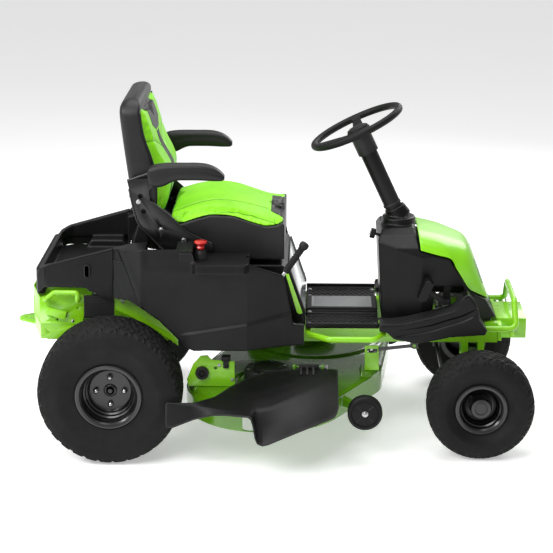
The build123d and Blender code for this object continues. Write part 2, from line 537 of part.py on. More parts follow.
# ---------------------------------------------------------------- seat
def seat_slide_plate():
    plate = box(300, 560, -170, 170, 662, 671)
    plate += both(box(300, 560, -168, -150, 655.4, 663))
    ears = box(548, 604, -172, -160, 660, 676)
    ears += slab_xz([(560, 662), (SEAT_HINGE[0] - 4, 694), (SEAT_HINGE[0] + 8, 694), (604, 676), (604, 662)],
                    -172, -162)
    plate += both(ears)
    plate += both(rod((SEAT_HINGE[0], -162, SEAT_HINGE[1]), (SEAT_HINGE[0], -140, SEAT_HINGE[1]), 5))
    nodes["seat_slide_plate"] = plate


PAN_LINE = [(200, 802), (240, 800), (290, 817), (346, 832), (421, 828), (480, 808), (535, 792), (576, 794),
            (601, 806)]


def seat_pan():
    outline = PAN_LINE + [(607, 800), (607, 674), (240, 674), (206, 740), (196, 790)]
    pan = slab_xz(outline, -234, 234)
    pan -= slab_xz([(545, 660), (546, 704), (620, 704), (620, 660)], -178, 178)
    pan -= box(252, 546, -226, 226, 660, 780) & slab_xz([(252, 660), (252, 780), (290, 805), (346, 822), (421, 818),
                                                         (480, 798), (530, 782), (546, 700), (546, 660)], -226, 226)
    lug = slab_xz([(572, 705), (SEAT_HINGE[0] - 11, SEAT_HINGE[1]), (SEAT_HINGE[0], SEAT_HINGE[1] - 11),
                   (SEAT_HINGE[0] + 11, SEAT_HINGE[1]), (606, 705)], -158, -142)
    lug -= rod((SEAT_HINGE[0], -170, SEAT_HINGE[1]), (SEAT_HINGE[0], -130, SEAT_HINGE[1]), 5 + FIT)
    nodes["seat_pan"] = pan + both(lug)


def seat_cushion():
    line = [(x, z + 0.4) for x, z in PAN_LINE]
    top = [(606, 815), (596, 832), (542, 842), (476, 856), (411, 868), (340, 873), (270, 866), (212, 848), (196, 822)]
    nodes["seat_cushion"] = slab_xz(line + top, -230, 230)


BACK_LINE = [(97, 1190), (105, 1135), (115, 1094), (128, 1058), (142, 1010), (150, 960), (150, 880), (142, 816)]


def seat_back_shell():
    outline = [(72, 826), (54, 962), (36, 1110), (27, 1193), (34, 1226), (50, 1238), (86, 1241), (96, 1225)]
    hollow = [(80, 832), (60, 962), (42, 1110), (33, 1193), (39, 1222), (54, 1232), (82, 1235), (90, 1224)]
    open_front = [(x + 1, z) for x, z in BACK_LINE[:-1]] + [(144, 822)]
    shell = slab_xz(outline + BACK_LINE, -226, 226)
    nodes["seat_back_shell"] = shell - slab_xz(hollow + open_front, -219, 219)


def seat_back_cushion():
    front = [(160, 812), (176, 845), (194, 930), (196, 968), (186, 998), (153, 1060), (131, 1136), (108, 1196)]
    line = [(x + 0.4, z) for x, z in BACK_LINE]
    nodes["seat_back_cushion"] = slab_xz(line + front, -212, 212)


def seat_back_brackets():
    outline = [(53, 964), (84, 815), (168, 721), (184, 702), (345, 702), (356, 712), (350, 730), (265, 770),
               (197, 835), (134, 884), (130, 925), (176, 975), (172, 998), (148, 998), (126, 968)]
    plate = slab_xz(outline, -242, -236.5)
    for x, z, r in ((170, 784, 7), (100, 905, 9), (110, 850, 9)):
        plate -= rod((x, -260, z), (x, -230, z), r)
    plate += rod((ARM_PIVOT[0], -304, ARM_PIVOT[1]), (ARM_PIVOT[0], -240, ARM_PIVOT[1]), 8)
    plate += rod((250, -240, 745), (250, -234.2, 745), 10)
    plate += box(60, 76, -242, -226.2, 900, 930)
    nodes["seat_back_brackets"] = both(plate)


def armrest(name, side):
    outline = [(131, 1010), (138, 1022), (160, 1028), (300, 1030), (340, 1028), (378, 1012), (398, 990), (396, 978),
               (385, 972), (232, 976), (206, 962), (176, 950), (150, 953), (137, 975)]
    arm = slab_xz(outline, -316, -262)
    arm -= rod((ARM_PIVOT[0], -305, ARM_PIVOT[1]), (ARM_PIVOT[0], -240, ARM_PIVOT[1]), 8 + FIT)
    nodes[f"armrest_{name}"] = half(arm, side)


# ---------------------------------------------------------------- mowing deck
def deck_outline(inset):
    circles = [Pos(*BLADE_RIGHT) * CenterArc((0, 0), LOBE_R - inset, 0, 360),
               Pos(*BLADE_LEFT) * CenterArc((0, 0), LOBE_R - inset, 0, 360),
               CenterArc((790, -60), 178 - inset, 0, 360)]
    return make_hull(circles)


def deck_shell():
    outer = extrude(Plane.XY.offset(DECK_RIM_Z) * deck_outline(0), DECK_TOP_Z - DECK_RIM_Z)
    outer = fillet(outer.faces().sort_by(Axis.Z)[-1].edges(), 22)
    inner = extrude(Plane.XY.offset(DECK_RIM_Z - 5) * deck_outline(SHEET), DECK_TOP_Z - DECK_RIM_Z + 5 - SHEET)
    inner = fillet(inner.faces().sort_by(Axis.Z)[-1].edges(), 18)
    deck = outer - inner
    lip = Plane.XY.offset(DECK_RIM_Z) * (deck_outline(0) - deck_outline(10))
    deck += extrude(lip, 6)
    deck -= slab_xy([(470, -700), (470, -470), (640, -380), (730, -400), (730, -700)], DECK_RIM_Z + 7, DECK_TOP_Z - 14)
    for x, y in (BLADE_RIGHT, BLADE_LEFT):
        deck -= rod((x, y, 200), (x, y, 260), 24)
    hinge_y, hinge_z = CHUTE_HINGE
    for x in (640, 742):
        deck += box(x, x + 8, hinge_y - 10, hinge_y + 12, DECK_TOP_Z - 3, hinge_z + 8)
    deck += rod((636, hinge_y, hinge_z), (754, hinge_y, hinge_z), 4)
    for (x, y, z), inward in ((GAUGE_RIGHT, 1), (GAUGE_LEFT, -1)):
        inner_y = y + inward * (GAUGE_W / 2 + 4)
        deck += rod((x, y - inward * (GAUGE_W / 2 + 6), z), (x, inner_y + inward * 6, z), 6)
        arm = [(x - 14, inner_y), (x - 100, inner_y + inward * 96), (x - 70, inner_y + inward * 110),
               (x + 14, inner_y + inward * 6)]
        deck += slab_xy(arm, z - 14, z + 14) - inner
    nodes["deck_shell"] = deck


def deck_brackets():
    plate = [(268, 238), (262, 262), (285, 318), (312, 350), (336, 352), (350, 336), (432, 330), (432, 236)]
    rear = slab_xz(plate, -352, -347)
    rear += rod((317, -347, 289), (317, -340, 289), 22) + box(300, 432, -347, -320, 236, 241)
    rear -= rod((365, -360, 305), (365, -330, 305), 6)
    left = Pos(190, 600, 0) * rear
    front = slab_xz([(900, 236), (900, 330), (948, 330), (952, 236)], LINK_Y - 14, LINK_Y - 9)
    front += box(900, 952, LINK_Y - 9, LINK_Y + 40, 235.2, 241)
    front -= box(908, 946, LINK_Y - 20, LINK_Y, 302, 318)
    nodes["deck_brackets"] = rear + left + front


def blade_motors():
    motors = Part()
    for x, y in (BLADE_RIGHT, BLADE_LEFT):
        case = rod((x, y, DECK_TOP_Z + 0.2), (x, y, DECK_TOP_Z + 44), 82)
        case = chamfer(case.faces().sort_by(Axis.Z)[-1].edges(), 6)
        case -= rod((x, y, DECK_TOP_Z - 10), (x, y, DECK_TOP_Z + 30), 12 + FIT)
        motors += case
    nodes["blade_motors"] = motors


def blade(name, centre):
    x, y = centre
    bar = box(x - BLADE_R, x + BLADE_R, y - 28, y + 28, 158, 163)
    bar += rod((x, y, 152), (x, y, 176), 30)
    bar += rod((x, y, 170), (x, y, DECK_TOP_Z + 29), 12)
    for end in (-1, 1):
        sail = [(x + end * 190, y + end * 28), (x + end * 255, y + end * 28), (x + end * 255, y + end * 14),
                (x + end * 190, y + end * 14)]
        bar += slab_xy(sail, 163, 180)
    bar &= rod((x, y, 100), (x, y, 300), BLADE_R)
    nodes[f"blade_{name}"] = bar


def gauge_wheel(name, place):
    x, y, z = place
    wheel = rod((x, y - GAUGE_W / 2, z), (x, y + GAUGE_W / 2, z), GAUGE_R)
    wheel = fillet(wheel.edges().filter_by(GeomType.CIRCLE), 5)
    wheel -= rod((x, y - 40, z), (x, y + 40, z), 6 + FIT)
    nodes[f"gauge_wheel_{name}"] = wheel


CHUTE_STATIONS = [
    (800, (-330, 296), (-410, 291), (-640, 238)),
    (770, (-330, 300), (-430, 290), (-652, 222)),
    (650, (-330, 300), (-520, 262), (-664, 176)),
    (560, (-334, 292), (-580, 238), (-668, 140)),
    (500, (-352, 280), (-598, 236), (-640, 205)),
    (420, (-420, 262), (-592, 232), (-612, 214)),
    (350, (-506, 246), (-566, 236), (-580, 196)),
    (300, (-545, 246), (-556, 242), (-566, 166)),
    (204, (-552, 244), (-556, 240), (-566, 172)),
]


def discharge_chute():
    """Moulded deflector: a thin skin lofted through hinge edge, fold and outer edge."""
    wall = 4.0
    sections = []
    for x, (y0, z0), (y1, z1), (y2, z2) in CHUTE_STATIONS:
        points = [(x, y0, z0), (x, y1, z1), (x, y2, z2), (x, y2 + wall, z2), (x, y1 + wall, z1 - wall),
                  (x, y0, z0 - wall)]
        sections.append(make_face(Polyline(points, close=True)))
    chute = Part()
    for first, second in zip(sections, sections[1:]):
        chute += loft([first, second], ruled=True)
    hinge_y, hinge_z = CHUTE_HINGE
    chute -= box(634, 656, hinge_y - 18, hinge_y + 20, 200, 320)
    chute -= box(736, 758, hinge_y - 18, hinge_y + 20, 200, 320)
    for x in (666, 690, 714):
        chute += hinge_gusset(x)
    chute += rod((662, hinge_y, hinge_z), (730, hinge_y, hinge_z), 8)
    chute -= rod((600, hinge_y, hinge_z), (800, hinge_y, hinge_z), 4 + FIT)
    nodes["discharge_chute"] = chute


def hinge_gusset(x):
    y, z = CHUTE_HINGE
    face = make_face(Polyline([(x, y, z + 8), (x, y - 52, z - 11), (x, y, z - 10)], close=True))
    return extrude(face, 5, dir=(1, 0, 0))


def deck_front_link():
    link = slab_xz([(LINK_END[0], LINK_END[1] - 6), (LINK_PIVOT[0], LINK_PIVOT[1] - 6),
                    (LINK_PIVOT[0], LINK_PIVOT[1] + 6), (LINK_END[0], LINK_END[1] + 6)], LINK_Y - 5, LINK_Y + 1)
    link += rod((LINK_END[0], LINK_Y - 5, LINK_END[1]), (LINK_END[0], LINK_Y + 1, LINK_END[1]), 11)
    link += rod((LINK_PIVOT[0], LINK_Y - 5, LINK_PIVOT[1]), (LINK_PIVOT[0], LINK_Y + 1, LINK_PIVOT[1]), 13)
    link -= rod((LINK_PIVOT[0], LINK_Y - 10, LINK_PIVOT[1]), (LINK_PIVOT[0], LINK_Y + 10, LINK_PIVOT[1]), 6 + FIT)
    link -= rod((LINK_END[0], LINK_Y - 10, LINK_END[1]), (LINK_END[0], LINK_Y + 10, LINK_END[1]), 5)
    nodes["deck_front_link"] = link


# ---------------------------------------------------------------- controls
def lift_lever():
    px, pz = LEVER_PIVOT
    grip_low, grip_high = (611, 648), (676, 744)
    lever = rod((px, LEVER_Y - 8, pz), (px, LEVER_Y + 8, pz), 17)
    lever += rod((px, LEVER_Y, pz), (grip_low[0], LEVER_Y, grip_low[1]), 6)
    lever += rod((grip_low[0], LEVER_Y, grip_low[1]), (grip_high[0], LEVER_Y, grip_high[1]), 12)
    lever += Pos(grip_high[0] + 3, LEVER_Y, grip_high[1] + 5) * Sphere(15)
    lever -= rod((px, LEVER_Y - 30, pz), (px, LEVER_Y + 30, pz), 8 + FIT)
    nodes["lift_lever"] = lever


def pedal(name, side):
    px, pz = PEDAL_PIVOT
    arm = slab_xz([(px - 12, pz), (px + 12, pz), (1206, 560), (1200, 510), (1176, 506), (1180, 560)], -177, -170)
    arm += rod((px, -177, pz), (px, -170, pz), 14)
    arm += slab_xz([(1204, 526), (1200, 509), (1176, 507), (1180, 526)], -232, -172)
    arm += slab_xz([(1182, 526), (1174, 508), (1108, 556), (1116, 574)], -232, -218)
    pad = slab_xz([(1091, 525), (1082, 536), (1110, 604), (1124, 606), (1139, 590), (1112, 530)], -262, -204)
    part = arm + pad
    part -= rod((px, -190, pz), (px, -160, pz), 8 + FIT)
    nodes[name] = half(part, side)


def pto_knob():
    x, y, z = KNOB_AT
    knob = rod((x, y, z - 40), (x, y, z + 10), 8)
    knob += rod((x, y, z + 8), (x, y, z + 20), 14) + rod((x, y, z + 20), (x, y, z + 36), 22)
    nodes["pto_knob"] = knob


def dash_knob():
    place = Vector(*DASH_KNOB_AT)
    back = KNOB_BACK
    frame = Plane(origin=tuple(place + back * 3), z_dir=back)
    face = Circle(14)
    for x, y in ring_of(5, 13):
        face += Pos(x, y) * Circle(6)
    knob = extrude(frame * face, 18)
    knob += rod(tuple(place + back * 6), tuple(place - back * 30), 4.9)
    nodes["dash_knob"] = knob


# ---------------------------------------------------------------- build
def build():
    for name, side in SIDES:
        rear_wheel(name, side)
        front_wheel(name, side)
        spindle(name, side)
        armrest(name, side)
    for make in (axle_beam, tie_rod, drag_link, sector_gear, steering_shaft, steering_wheel, steering_column,
                 main_frame, rear_frame_box, tie_down_handles, tow_hitch, side_steps, front_bumper,
                 transaxle, battery_packs, cargo_bed, fenders, seat_pedestal, floorboard, front_fenders,
                 console_tower, hood, headlamps, seat_slide_plate, seat_pan, seat_cushion,
                 seat_back_shell, seat_back_cushion, seat_back_brackets, deck_shell, deck_brackets, blade_motors,
                 discharge_chute, deck_front_link, lift_lever, pto_knob, dash_knob):
        make()
    blade("right", BLADE_RIGHT)
    blade("left", BLADE_LEFT)
    gauge_wheel("right", GAUGE_RIGHT)
    gauge_wheel("left", GAUGE_LEFT)
    pedal("drive_pedal", -1)
    pedal("brake_pedal", 1)


ORIGIN_X = (HITCH_TIP_X + AXLE_X + FRONT_TYRE_R) / 2
ORIGIN_Y = (CHUTE_EDGE_Y + LEFT_DECK_Y) / 2

if __name__ == "__main__":
    build()
    for node, shape in nodes.items():
        export_step(Pos(-ORIGIN_X, -ORIGIN_Y, 0) * shape, f"parts/{node}.step")
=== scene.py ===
"""Looks of the battery ride-on lawn tractor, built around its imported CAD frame.

Lengths in the outlines are millimetres in the machine's own frame: X forward from the rear axle,
Y to the operator's left, Z up from the ground. place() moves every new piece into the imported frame.
"""
from math import atan2, cos, pi, radians, sin, sqrt

import bmesh
import bpy
import numpy as np
from mathutils import Matrix, Vector
from mathutils.bvhtree import BVHTree


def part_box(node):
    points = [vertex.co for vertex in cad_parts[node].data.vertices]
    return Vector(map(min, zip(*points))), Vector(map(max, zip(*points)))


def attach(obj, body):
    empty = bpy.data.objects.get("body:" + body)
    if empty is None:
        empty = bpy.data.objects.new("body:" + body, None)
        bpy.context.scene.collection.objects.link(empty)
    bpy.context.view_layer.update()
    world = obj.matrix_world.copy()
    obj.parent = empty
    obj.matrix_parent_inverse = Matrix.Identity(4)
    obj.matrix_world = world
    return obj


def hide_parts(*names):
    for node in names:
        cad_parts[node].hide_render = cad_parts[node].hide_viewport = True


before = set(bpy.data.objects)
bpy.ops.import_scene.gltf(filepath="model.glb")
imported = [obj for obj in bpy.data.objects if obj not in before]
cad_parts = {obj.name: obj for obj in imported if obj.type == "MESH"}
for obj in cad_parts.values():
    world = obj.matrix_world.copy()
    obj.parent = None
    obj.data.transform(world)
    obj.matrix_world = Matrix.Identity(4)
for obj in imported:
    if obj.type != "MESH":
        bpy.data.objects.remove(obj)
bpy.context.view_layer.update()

MM = 0.001
SCENE = bpy.context.scene
REAR_TRACK, FRONT_TRACK, WHEELBASE = 435.0, 392.0, 1302.0
WHEEL_HUB = Vector((863, 0, 1109))
COLUMN_AXIS = Vector((-sin(radians(25)), 0, cos(radians(25))))
EYE_PLACE, EYE_YAW, EYE_PITCH = Vector((710.47, -6133.72, 2328.70)), radians(1.2803), radians(16.2297)
BLOCK_FACES = [(0, 1, 2, 3), (7, 6, 5, 4), (0, 4, 5, 1), (1, 5, 6, 2), (2, 6, 7, 3), (3, 7, 4, 0)]


def middle(node):
    low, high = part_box(node)
    return (low + high) / 2


AXLE = (middle("rear_rim_right") + middle("rear_rim_left")) / 2
ORIGIN = Vector((AXLE.x, AXLE.y, 0))
SIDES = (("right", -1), ("left", 1))


# ---------------------------------------------------------------- mesh helpers
def new_object(name, mesh):
    obj = bpy.data.objects.new(name, mesh)
    SCENE.collection.objects.link(obj)
    return obj


def smooth(obj, angle=40):
    mesh = obj.data
    mesh.polygons.foreach_set("use_smooth", [True] * len(mesh.polygons))
    mesh.set_sharp_from_angle(angle=radians(angle))
    return obj


def place(name, verts, faces, material, body, slot, replaces=(), angle=40):
    """New piece from machine-frame millimetres, riding on a body."""
    mesh = bpy.data.meshes.new(name)
    mesh.from_pydata([tuple(v) for v in verts], [], [tuple(f) for f in faces])
    mesh.transform(Matrix.Translation(ORIGIN) @ Matrix.Scale(MM, 4))
    mesh.update()
    obj = new_object(name, mesh)
    return dress(smooth(obj, angle), material, body, replaces)


def dress(obj, material, body, replaces=()):
    obj.data.materials.clear()
    obj.data.materials.append(material)
    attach(obj, body)
    if replaces:
        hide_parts(*replaces)
    return obj


def tidy_normals(obj):
    """Turns every face outward."""
    bm = bmesh.new()
    bm.from_mesh(obj.data)
    bmesh.ops.recalc_face_normals(bm, faces=bm.faces)
    bm.to_mesh(obj.data)
    bm.free()
    return obj


def applied(obj):
    """Bake an object's modifiers into its mesh."""
    graph = bpy.context.evaluated_depsgraph_get()
    mesh = bpy.data.meshes.new_from_object(obj.evaluated_get(graph))
    old = obj.data
    obj.modifiers.clear()
    obj.data = mesh
    bpy.data.meshes.remove(old)
    return obj


def weld(mesh, flatten=False):
    """Joins a CAD mesh's doubled points, and its flat faces too where asked."""
    bm = bmesh.new()
    bm.from_mesh(mesh)
    bmesh.ops.remove_doubles(bm, verts=bm.verts, dist=0.02 * MM)
    if flatten:
        bmesh.ops.dissolve_limit(bm, angle_limit=radians(0.6), verts=bm.verts, edges=bm.edges)
    bm.to_mesh(mesh)
    bm.free()


def bevel(obj, width, angle):
    """Rounds the edges sharper than the angle."""
    edge = obj.modifiers.new("bevel", "BEVEL")
    edge.width, edge.segments, edge.limit_method, edge.angle_limit = width * MM, 2, "ANGLE", radians(angle)
    return applied(obj)


def voxels(obj, size):
    remesh = obj.modifiers.new("remesh", "REMESH")
    remesh.mode, remesh.voxel_size = "VOXEL", size * MM


def melt(obj, passes):
    smoother = obj.modifiers.new("melt", "SMOOTH")
    smoother.factor, smoother.iterations = 0.5, passes


def grid_faces(rows, columns, wrap_rows=False, wrap_columns=False):
    faces = []
    for i in range(rows if wrap_rows else rows - 1):
        for j in range(columns if wrap_columns else columns - 1):
            a, b = i * columns + j, i * columns + (j + 1) % columns
            c, d = ((i + 1) % rows) * columns + (j + 1) % columns, ((i + 1) % rows) * columns + j
            faces.append((a, b, c, d))
    return faces


def lathe(profile, centre, side=1, segments=96):
    """Closed ring turned about the Y direction: profile is (radius, outward distance)."""
    verts = []
    for k in range(segments):
        a = 2 * pi * k / segments
        verts += [(centre[0] + r * cos(a), centre[1] + side * y, centre[2] + r * sin(a)) for r, y in profile]
    return verts, grid_faces(segments, len(profile), True, True)


def loft(sections, close_ends=True):
    """Skin through rings that all have the same number of points."""
    count = len(sections[0])
    verts = [p for ring in sections for p in ring]
    faces = grid_faces(len(sections), count, False, True)
    if close_ends:
        faces.append(tuple(range(count))[::-1])
        last = (len(sections) - 1) * count
        faces.append(tuple(last + k for k in range(count)))
    return verts, faces


def box_mesh(x0, x1, y0, y1, z0, z1):
    verts = [(x, y, z) for x in (x0, x1) for y in (y0, y1) for z in (z0, z1)]
    return verts, [(0, 1, 3, 2), (4, 6, 7, 5), (0, 4, 5, 1), (2, 3, 7, 6), (0, 2, 6, 4), (1, 5, 7, 3)]


def join(parts):
    verts, faces = [], []
    for v, f in parts:
        start = len(verts)
        verts += list(v)
        faces += [tuple(i + start for i in face) for face in f]
    return verts, faces


def circle(centre, across, other, radius, segments):
    turns = [2 * pi * k / segments for k in range(segments)]
    return [centre + (across * cos(a) + other * sin(a)) * radius for a in turns]


def turned_between(start, end, profile, segments=32):
    """Body turned about the line from start to end: profile is (distance along, radius)."""
    a = Vector(start)
    axis = (Vector(end) - a).normalized()
    across = axis.orthogonal().normalized()
    other = axis.cross(across)
    return loft([circle(a + axis * d, across, other, r, segments) for d, r in profile])


def disc_bar(start, end, radius, segments, chamfer=0.0):
    """Round bar between two points, its ends chamfered where a chamfer is given."""
    length = (Vector(end) - Vector(start)).length
    profile = [(0, radius), (length, radius)]
    if chamfer:
        profile = [(0, radius - chamfer), (chamfer, radius), (length - chamfer, radius), (length, radius - chamfer)]
    return turned_between(start, end, profile, segments)


def tube_through(points, radius, segments=12, closed=False):
    """Round tube along a polyline of machine-frame points."""
    pts = [Vector(p) for p in points]
    rings, normal = [], None
    count = len(pts)
    for i, p in enumerate(pts):
        ahead = pts[(i + 1) % count] if closed or i + 1 < count else p
        behind = pts[i - 1] if closed or i else p
        direction = (ahead - behind).normalized()
        normal = direction.orthogonal() if normal is None else normal - direction * normal.dot(direction)
        normal.normalize()
        other = direction.cross(normal)
        rings.append(circle(p, normal, other, radius, segments))
    if closed:
        verts = [v for ring in rings for v in ring]
        return verts, grid_faces(count, segments, True, True)
    return loft(rings)


def curve_through(points, steps=8, closed=False):
    """Catmull-Rom curve through the points."""
    pts = [Vector(p) for p in points]
    out, count = [], len(pts)
    for i in range(count if closed else count - 1):
        p1, p2 = pts[i], pts[(i + 1) % count]
        p0 = pts[i - 1] if closed or i else p1
        p3 = pts[(i + 2) % count] if closed or i + 2 < count else p2
        for k in range(steps):
            t = k / steps
            out.append(0.5 * ((2 * p1) + (p2 - p0) * t + (2 * p0 - 5 * p1 + 4 * p2 - p3) * t * t
                              + (3 * p1 - p0 - 3 * p2 + p3) * t ** 3))
    if not closed:
        out.append(pts[-1])
    return out


def rounded(node, material, body, slot, voxel, passes):
    """Moulded copy of a CAD node: its edges are melted to small radii."""
    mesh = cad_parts[node].data.copy()
    obj = new_object(node + "_skin", mesh)
    weld(mesh)
    voxels(obj, voxel)
    melt(obj, passes)
    applied(obj)
    return dress(smooth(obj, 60), material, body, (node,))


# ---------------------------------------------------------------- materials
def lin(*srgb):
    return tuple(((c / 255 + 0.055) / 1.055) ** 2.4 if c > 10 else c / 255 / 12.92 for c in srgb) + (1.0,)


class Look:
    """Small builder for one procedural material."""

    def __init__(self, name):
        self.material = bpy.data.materials.new(name)
        self.material.use_nodes = True
        self.tree = self.material.node_tree
        self.shader = self.tree.nodes["Principled BSDF"]
        self.where = self.add("ShaderNodeTexCoord").outputs["Object"]

    def add(self, kind, **values):
        node = self.tree.nodes.new(kind)
        for key, value in values.items():
            setattr(node, key, value)
        return node

    def link(self, source, target):
        self.tree.links.new(source, target)

    def noise(self, scale, detail=3.0, roughness=0.55, stretch=None):
        node = self.add("ShaderNodeTexNoise")
        node.inputs["Scale"].default_value = scale
        node.inputs["Detail"].default_value = detail
        node.inputs["Roughness"].default_value = roughness
        source = self.where
        if stretch:
            mapping = self.add("ShaderNodeMapping")
            mapping.inputs["Scale"].default_value = stretch
            self.link(source, mapping.inputs["Vector"])
            source = mapping.outputs["Vector"]
        self.link(source, node.inputs["Vector"])
        return node.outputs["Fac"]

    def cells(self, scale, feature="F1"):
        node = self.add("ShaderNodeTexVoronoi", feature=feature)
        node.inputs["Scale"].default_value = scale
        self.link(self.where, node.inputs["Vector"])
        return node.outputs["Distance"]

    def ramp(self, source, low, high, start=0.35, end=0.65):
        node = self.add("ShaderNodeValToRGB")
        node.color_ramp.elements[0].position, node.color_ramp.elements[0].color = start, low
        node.color_ramp.elements[1].position, node.color_ramp.elements[1].color = end, high
        self.link(source, node.inputs["Fac"])
        return node.outputs["Color"]

    def spread(self, source, low, high):
        node = self.add("ShaderNodeMapRange")
        node.inputs["To Min"].default_value, node.inputs["To Max"].default_value = low, high
        self.link(source, node.inputs["Value"])
        return node.outputs["Result"]

    def colour(self, source):
        self.link(source, self.shader.inputs["Base Color"])

    def rough(self, source, low, high):
        self.link(self.spread(source, low, high), self.shader.inputs["Roughness"])

    def bump(self, source, height, strength=1.0, chain=None):
        node = self.add("ShaderNodeBump")
        node.inputs["Distance"].default_value = height * MM
        node.inputs["Strength"].default_value = strength
        self.link(source, node.inputs["Height"])
        if chain is not None:
            self.link(chain, node.inputs["Normal"])
        self.link(node.outputs["Normal"], self.shader.inputs["Normal"])
        return node.outputs["Normal"]

    def edge_wear_and_highlight(self, base, wear_and_highlight, start=0.52, end=0.60):
        """Lighter colour where the surface turns sharply outward: edge wear together with a painted edge highlight."""
        point = self.add("ShaderNodeNewGeometry").outputs["Pointiness"]
        mask = self.ramp(point, (0, 0, 0, 1), (1, 1, 1, 1), start, end)
        mix = self.add("ShaderNodeMix", data_type="RGBA")
        self.link(mask, mix.inputs["Factor"])
        self.link(base, mix.inputs[6])
        mix.inputs[7].default_value = wear_and_highlight
        return mix.outputs[2]

    def set(self, **values):
        for key, value in values.items():
            self.shader.inputs[key.replace("_", " ")].default_value = value
        return self


def moulded_plastic(name, dark, light, rough=(0.42, 0.6), grain=900, height=0.25):
    look = Look(name)
    patch = look.noise(7, 4)
    base = look.ramp(patch, dark, light, 0.3, 0.72)
    # lighter edge colour: rubbed wear and a painted edge highlight
    wear_and_highlight = tuple(min(1.0, c * 2.2 + 0.012) for c in light[:3]) + (1.0,)
    look.colour(look.edge_wear_and_highlight(base, wear_and_highlight))
    look.rough(look.noise(26, 5), *rough)
    fine = look.bump(look.cells(grain), height, 0.55)
    look.bump(look.noise(14, 2), 0.5, 0.12, fine)
    return look.set(Specular_IOR_Level=0.22).material


def powder_coat(name, dark, light, rough=(0.22, 0.36), coat=0.35):
    look = Look(name)
    base = look.ramp(look.noise(5, 3), dark, light, 0.3, 0.7)
    # lighter edge colour: rubbed wear and a painted edge highlight
    wear_and_highlight = tuple(min(1.0, c * 1.25 + 0.03) for c in light[:3]) + (1.0,)
    look.colour(look.edge_wear_and_highlight(base, wear_and_highlight, 0.54, 0.64))
    look.rough(look.noise(30, 4), *rough)
    look.bump(look.noise(420, 2), 0.12, 0.35)
    return look.set(Coat_Weight=coat, Coat_Roughness=0.12).material


def vinyl(name, dark, light):
    look = Look(name)
    look.colour(look.ramp(look.noise(9, 4), dark, light, 0.28, 0.72))
    look.rough(look.noise(60, 5), 0.38, 0.52)
    grain = look.bump(look.cells(520, "DISTANCE_TO_EDGE"), 0.35, 0.5)
    look.bump(look.noise(24, 4), 1.4, 0.16, grain)
    return look.set(Sheen_Weight=0.06, Sheen_Roughness=0.4, Specular_IOR_Level=0.34).material


def rubber(name, dark, light, rough=(0.6, 0.82)):
    look = Look(name)
    base = look.ramp(look.noise(11, 5), dark, light, 0.3, 0.75)
    # lighter edge colour on the rubber: wear and a painted edge highlight
    look.colour(look.edge_wear_and_highlight(base, tuple(c * 1.9 for c in light[:3]) + (1.0,), 0.53, 0.66))
    look.rough(look.noise(34, 4), *rough)
    fine = look.bump(look.noise(700, 3), 0.3, 0.5)
    look.bump(look.noise(60, 3), 0.5, 0.25, fine)
    return look.set(Specular_IOR_Level=0.22).material


def bare_metal(name, dark, light, rough=(0.24, 0.42), stretch=(4, 4, 60)):
    look = Look(name)
    look.colour(look.ramp(look.noise(40, 6, 0.6, stretch), dark, light, 0.3, 0.7))
    look.rough(look.noise(90, 4, 0.6, stretch), *rough)
    look.bump(look.noise(260, 4, 0.6, stretch), 0.12, 0.4)
    return look.set(Metallic=1.0).material


def lens_clear(name):
    look = Look(name)
    look.colour(look.ramp(look.noise(60, 2), (0.8, 0.85, 0.88, 1), (0.95, 0.97, 1, 1)))
    look.rough(look.noise(90, 2), 0.03, 0.1)
    look.bump(look.noise(160, 1, 0.4, (1, 12, 1)), 0.4, 0.4)
    return look.set(Transmission_Weight=0.6, IOR=1.5).material


BODY = moulded_plastic("body_plastic", lin(11, 11, 12), lin(20, 20, 21), (0.36, 0.5))
BODY_DARK = moulded_plastic("body_plastic_dark", lin(4, 4, 4), lin(9, 9, 9), (0.28, 0.42))
GREY_PLASTIC = moulded_plastic("grey_plastic", lin(92, 94, 94), lin(116, 118, 118), (0.4, 0.55))
PANEL_GREY = powder_coat("panel_grey", lin(120, 122, 124), lin(150, 152, 154), (0.14, 0.24), 0.7)
DARK_CHROME = bare_metal("dark_chrome", lin(150, 150, 154), lin(188, 188, 192), (0.2, 0.34), (1, 1, 1))
BLACK_PLASTIC = moulded_plastic("black_plastic", lin(8, 8, 8), lin(16, 16, 16), (0.34, 0.5), 1100, 0.18)
CHUTE_PLASTIC = moulded_plastic("chute_plastic", lin(9, 9, 9), lin(17, 17, 17), (0.36, 0.5), 800, 0.3)
GRIP = moulded_plastic("grip_foam", lin(10, 10, 10), lin(20, 20, 20), (0.46, 0.62), 1400, 0.2)
GREEN_HOOD = powder_coat("hood_green", lin(118, 196, 4), lin(132, 210, 10), (0.3, 0.42), 0.22)
GREEN_FRAME = powder_coat("frame_green", lin(122, 190, 14), lin(140, 210, 26))
# deck green kept darker than the frame green: painted shade of the deck top lying under the body
DECK_GREEN_SHADED = powder_coat("deck_green", lin(74, 128, 6), lin(92, 148, 12), (0.16, 0.3), 0.5)
GREEN_VINYL = vinyl("seat_green", lin(124, 208, 12), lin(144, 226, 24))
GREEN_THREAD = vinyl("seat_thread", lin(74, 140, 8), lin(92, 160, 14))
DARK_VINYL = vinyl("seat_charcoal", lin(15, 15, 16), lin(26, 26, 27))
ARM_FOAM = vinyl("arm_foam", lin(10, 10, 10), lin(19, 19, 19))
BLACK_PAINT = powder_coat("black_paint", lin(4, 4, 4), lin(11, 11, 11), (0.24, 0.38), 0.18)
TYRE = rubber("tyre_rubber", lin(10, 10, 10), lin(22, 22, 22))
GAUGE = rubber("gauge_rubber", lin(8, 8, 8), lin(17, 17, 17), (0.45, 0.65))
STEEL = bare_metal("bright_steel", lin(150, 150, 152), lin(200, 200, 202))
CAST = bare_metal("cast_housing", lin(60, 60, 62), lin(92, 92, 95), (0.42, 0.6), (1, 1, 1))
RED = powder_coat("knob_red", lin(170, 18, 18), lin(205, 32, 28), (0.2, 0.3), 0.5)
LENS = lens_clear("lamp_lens")

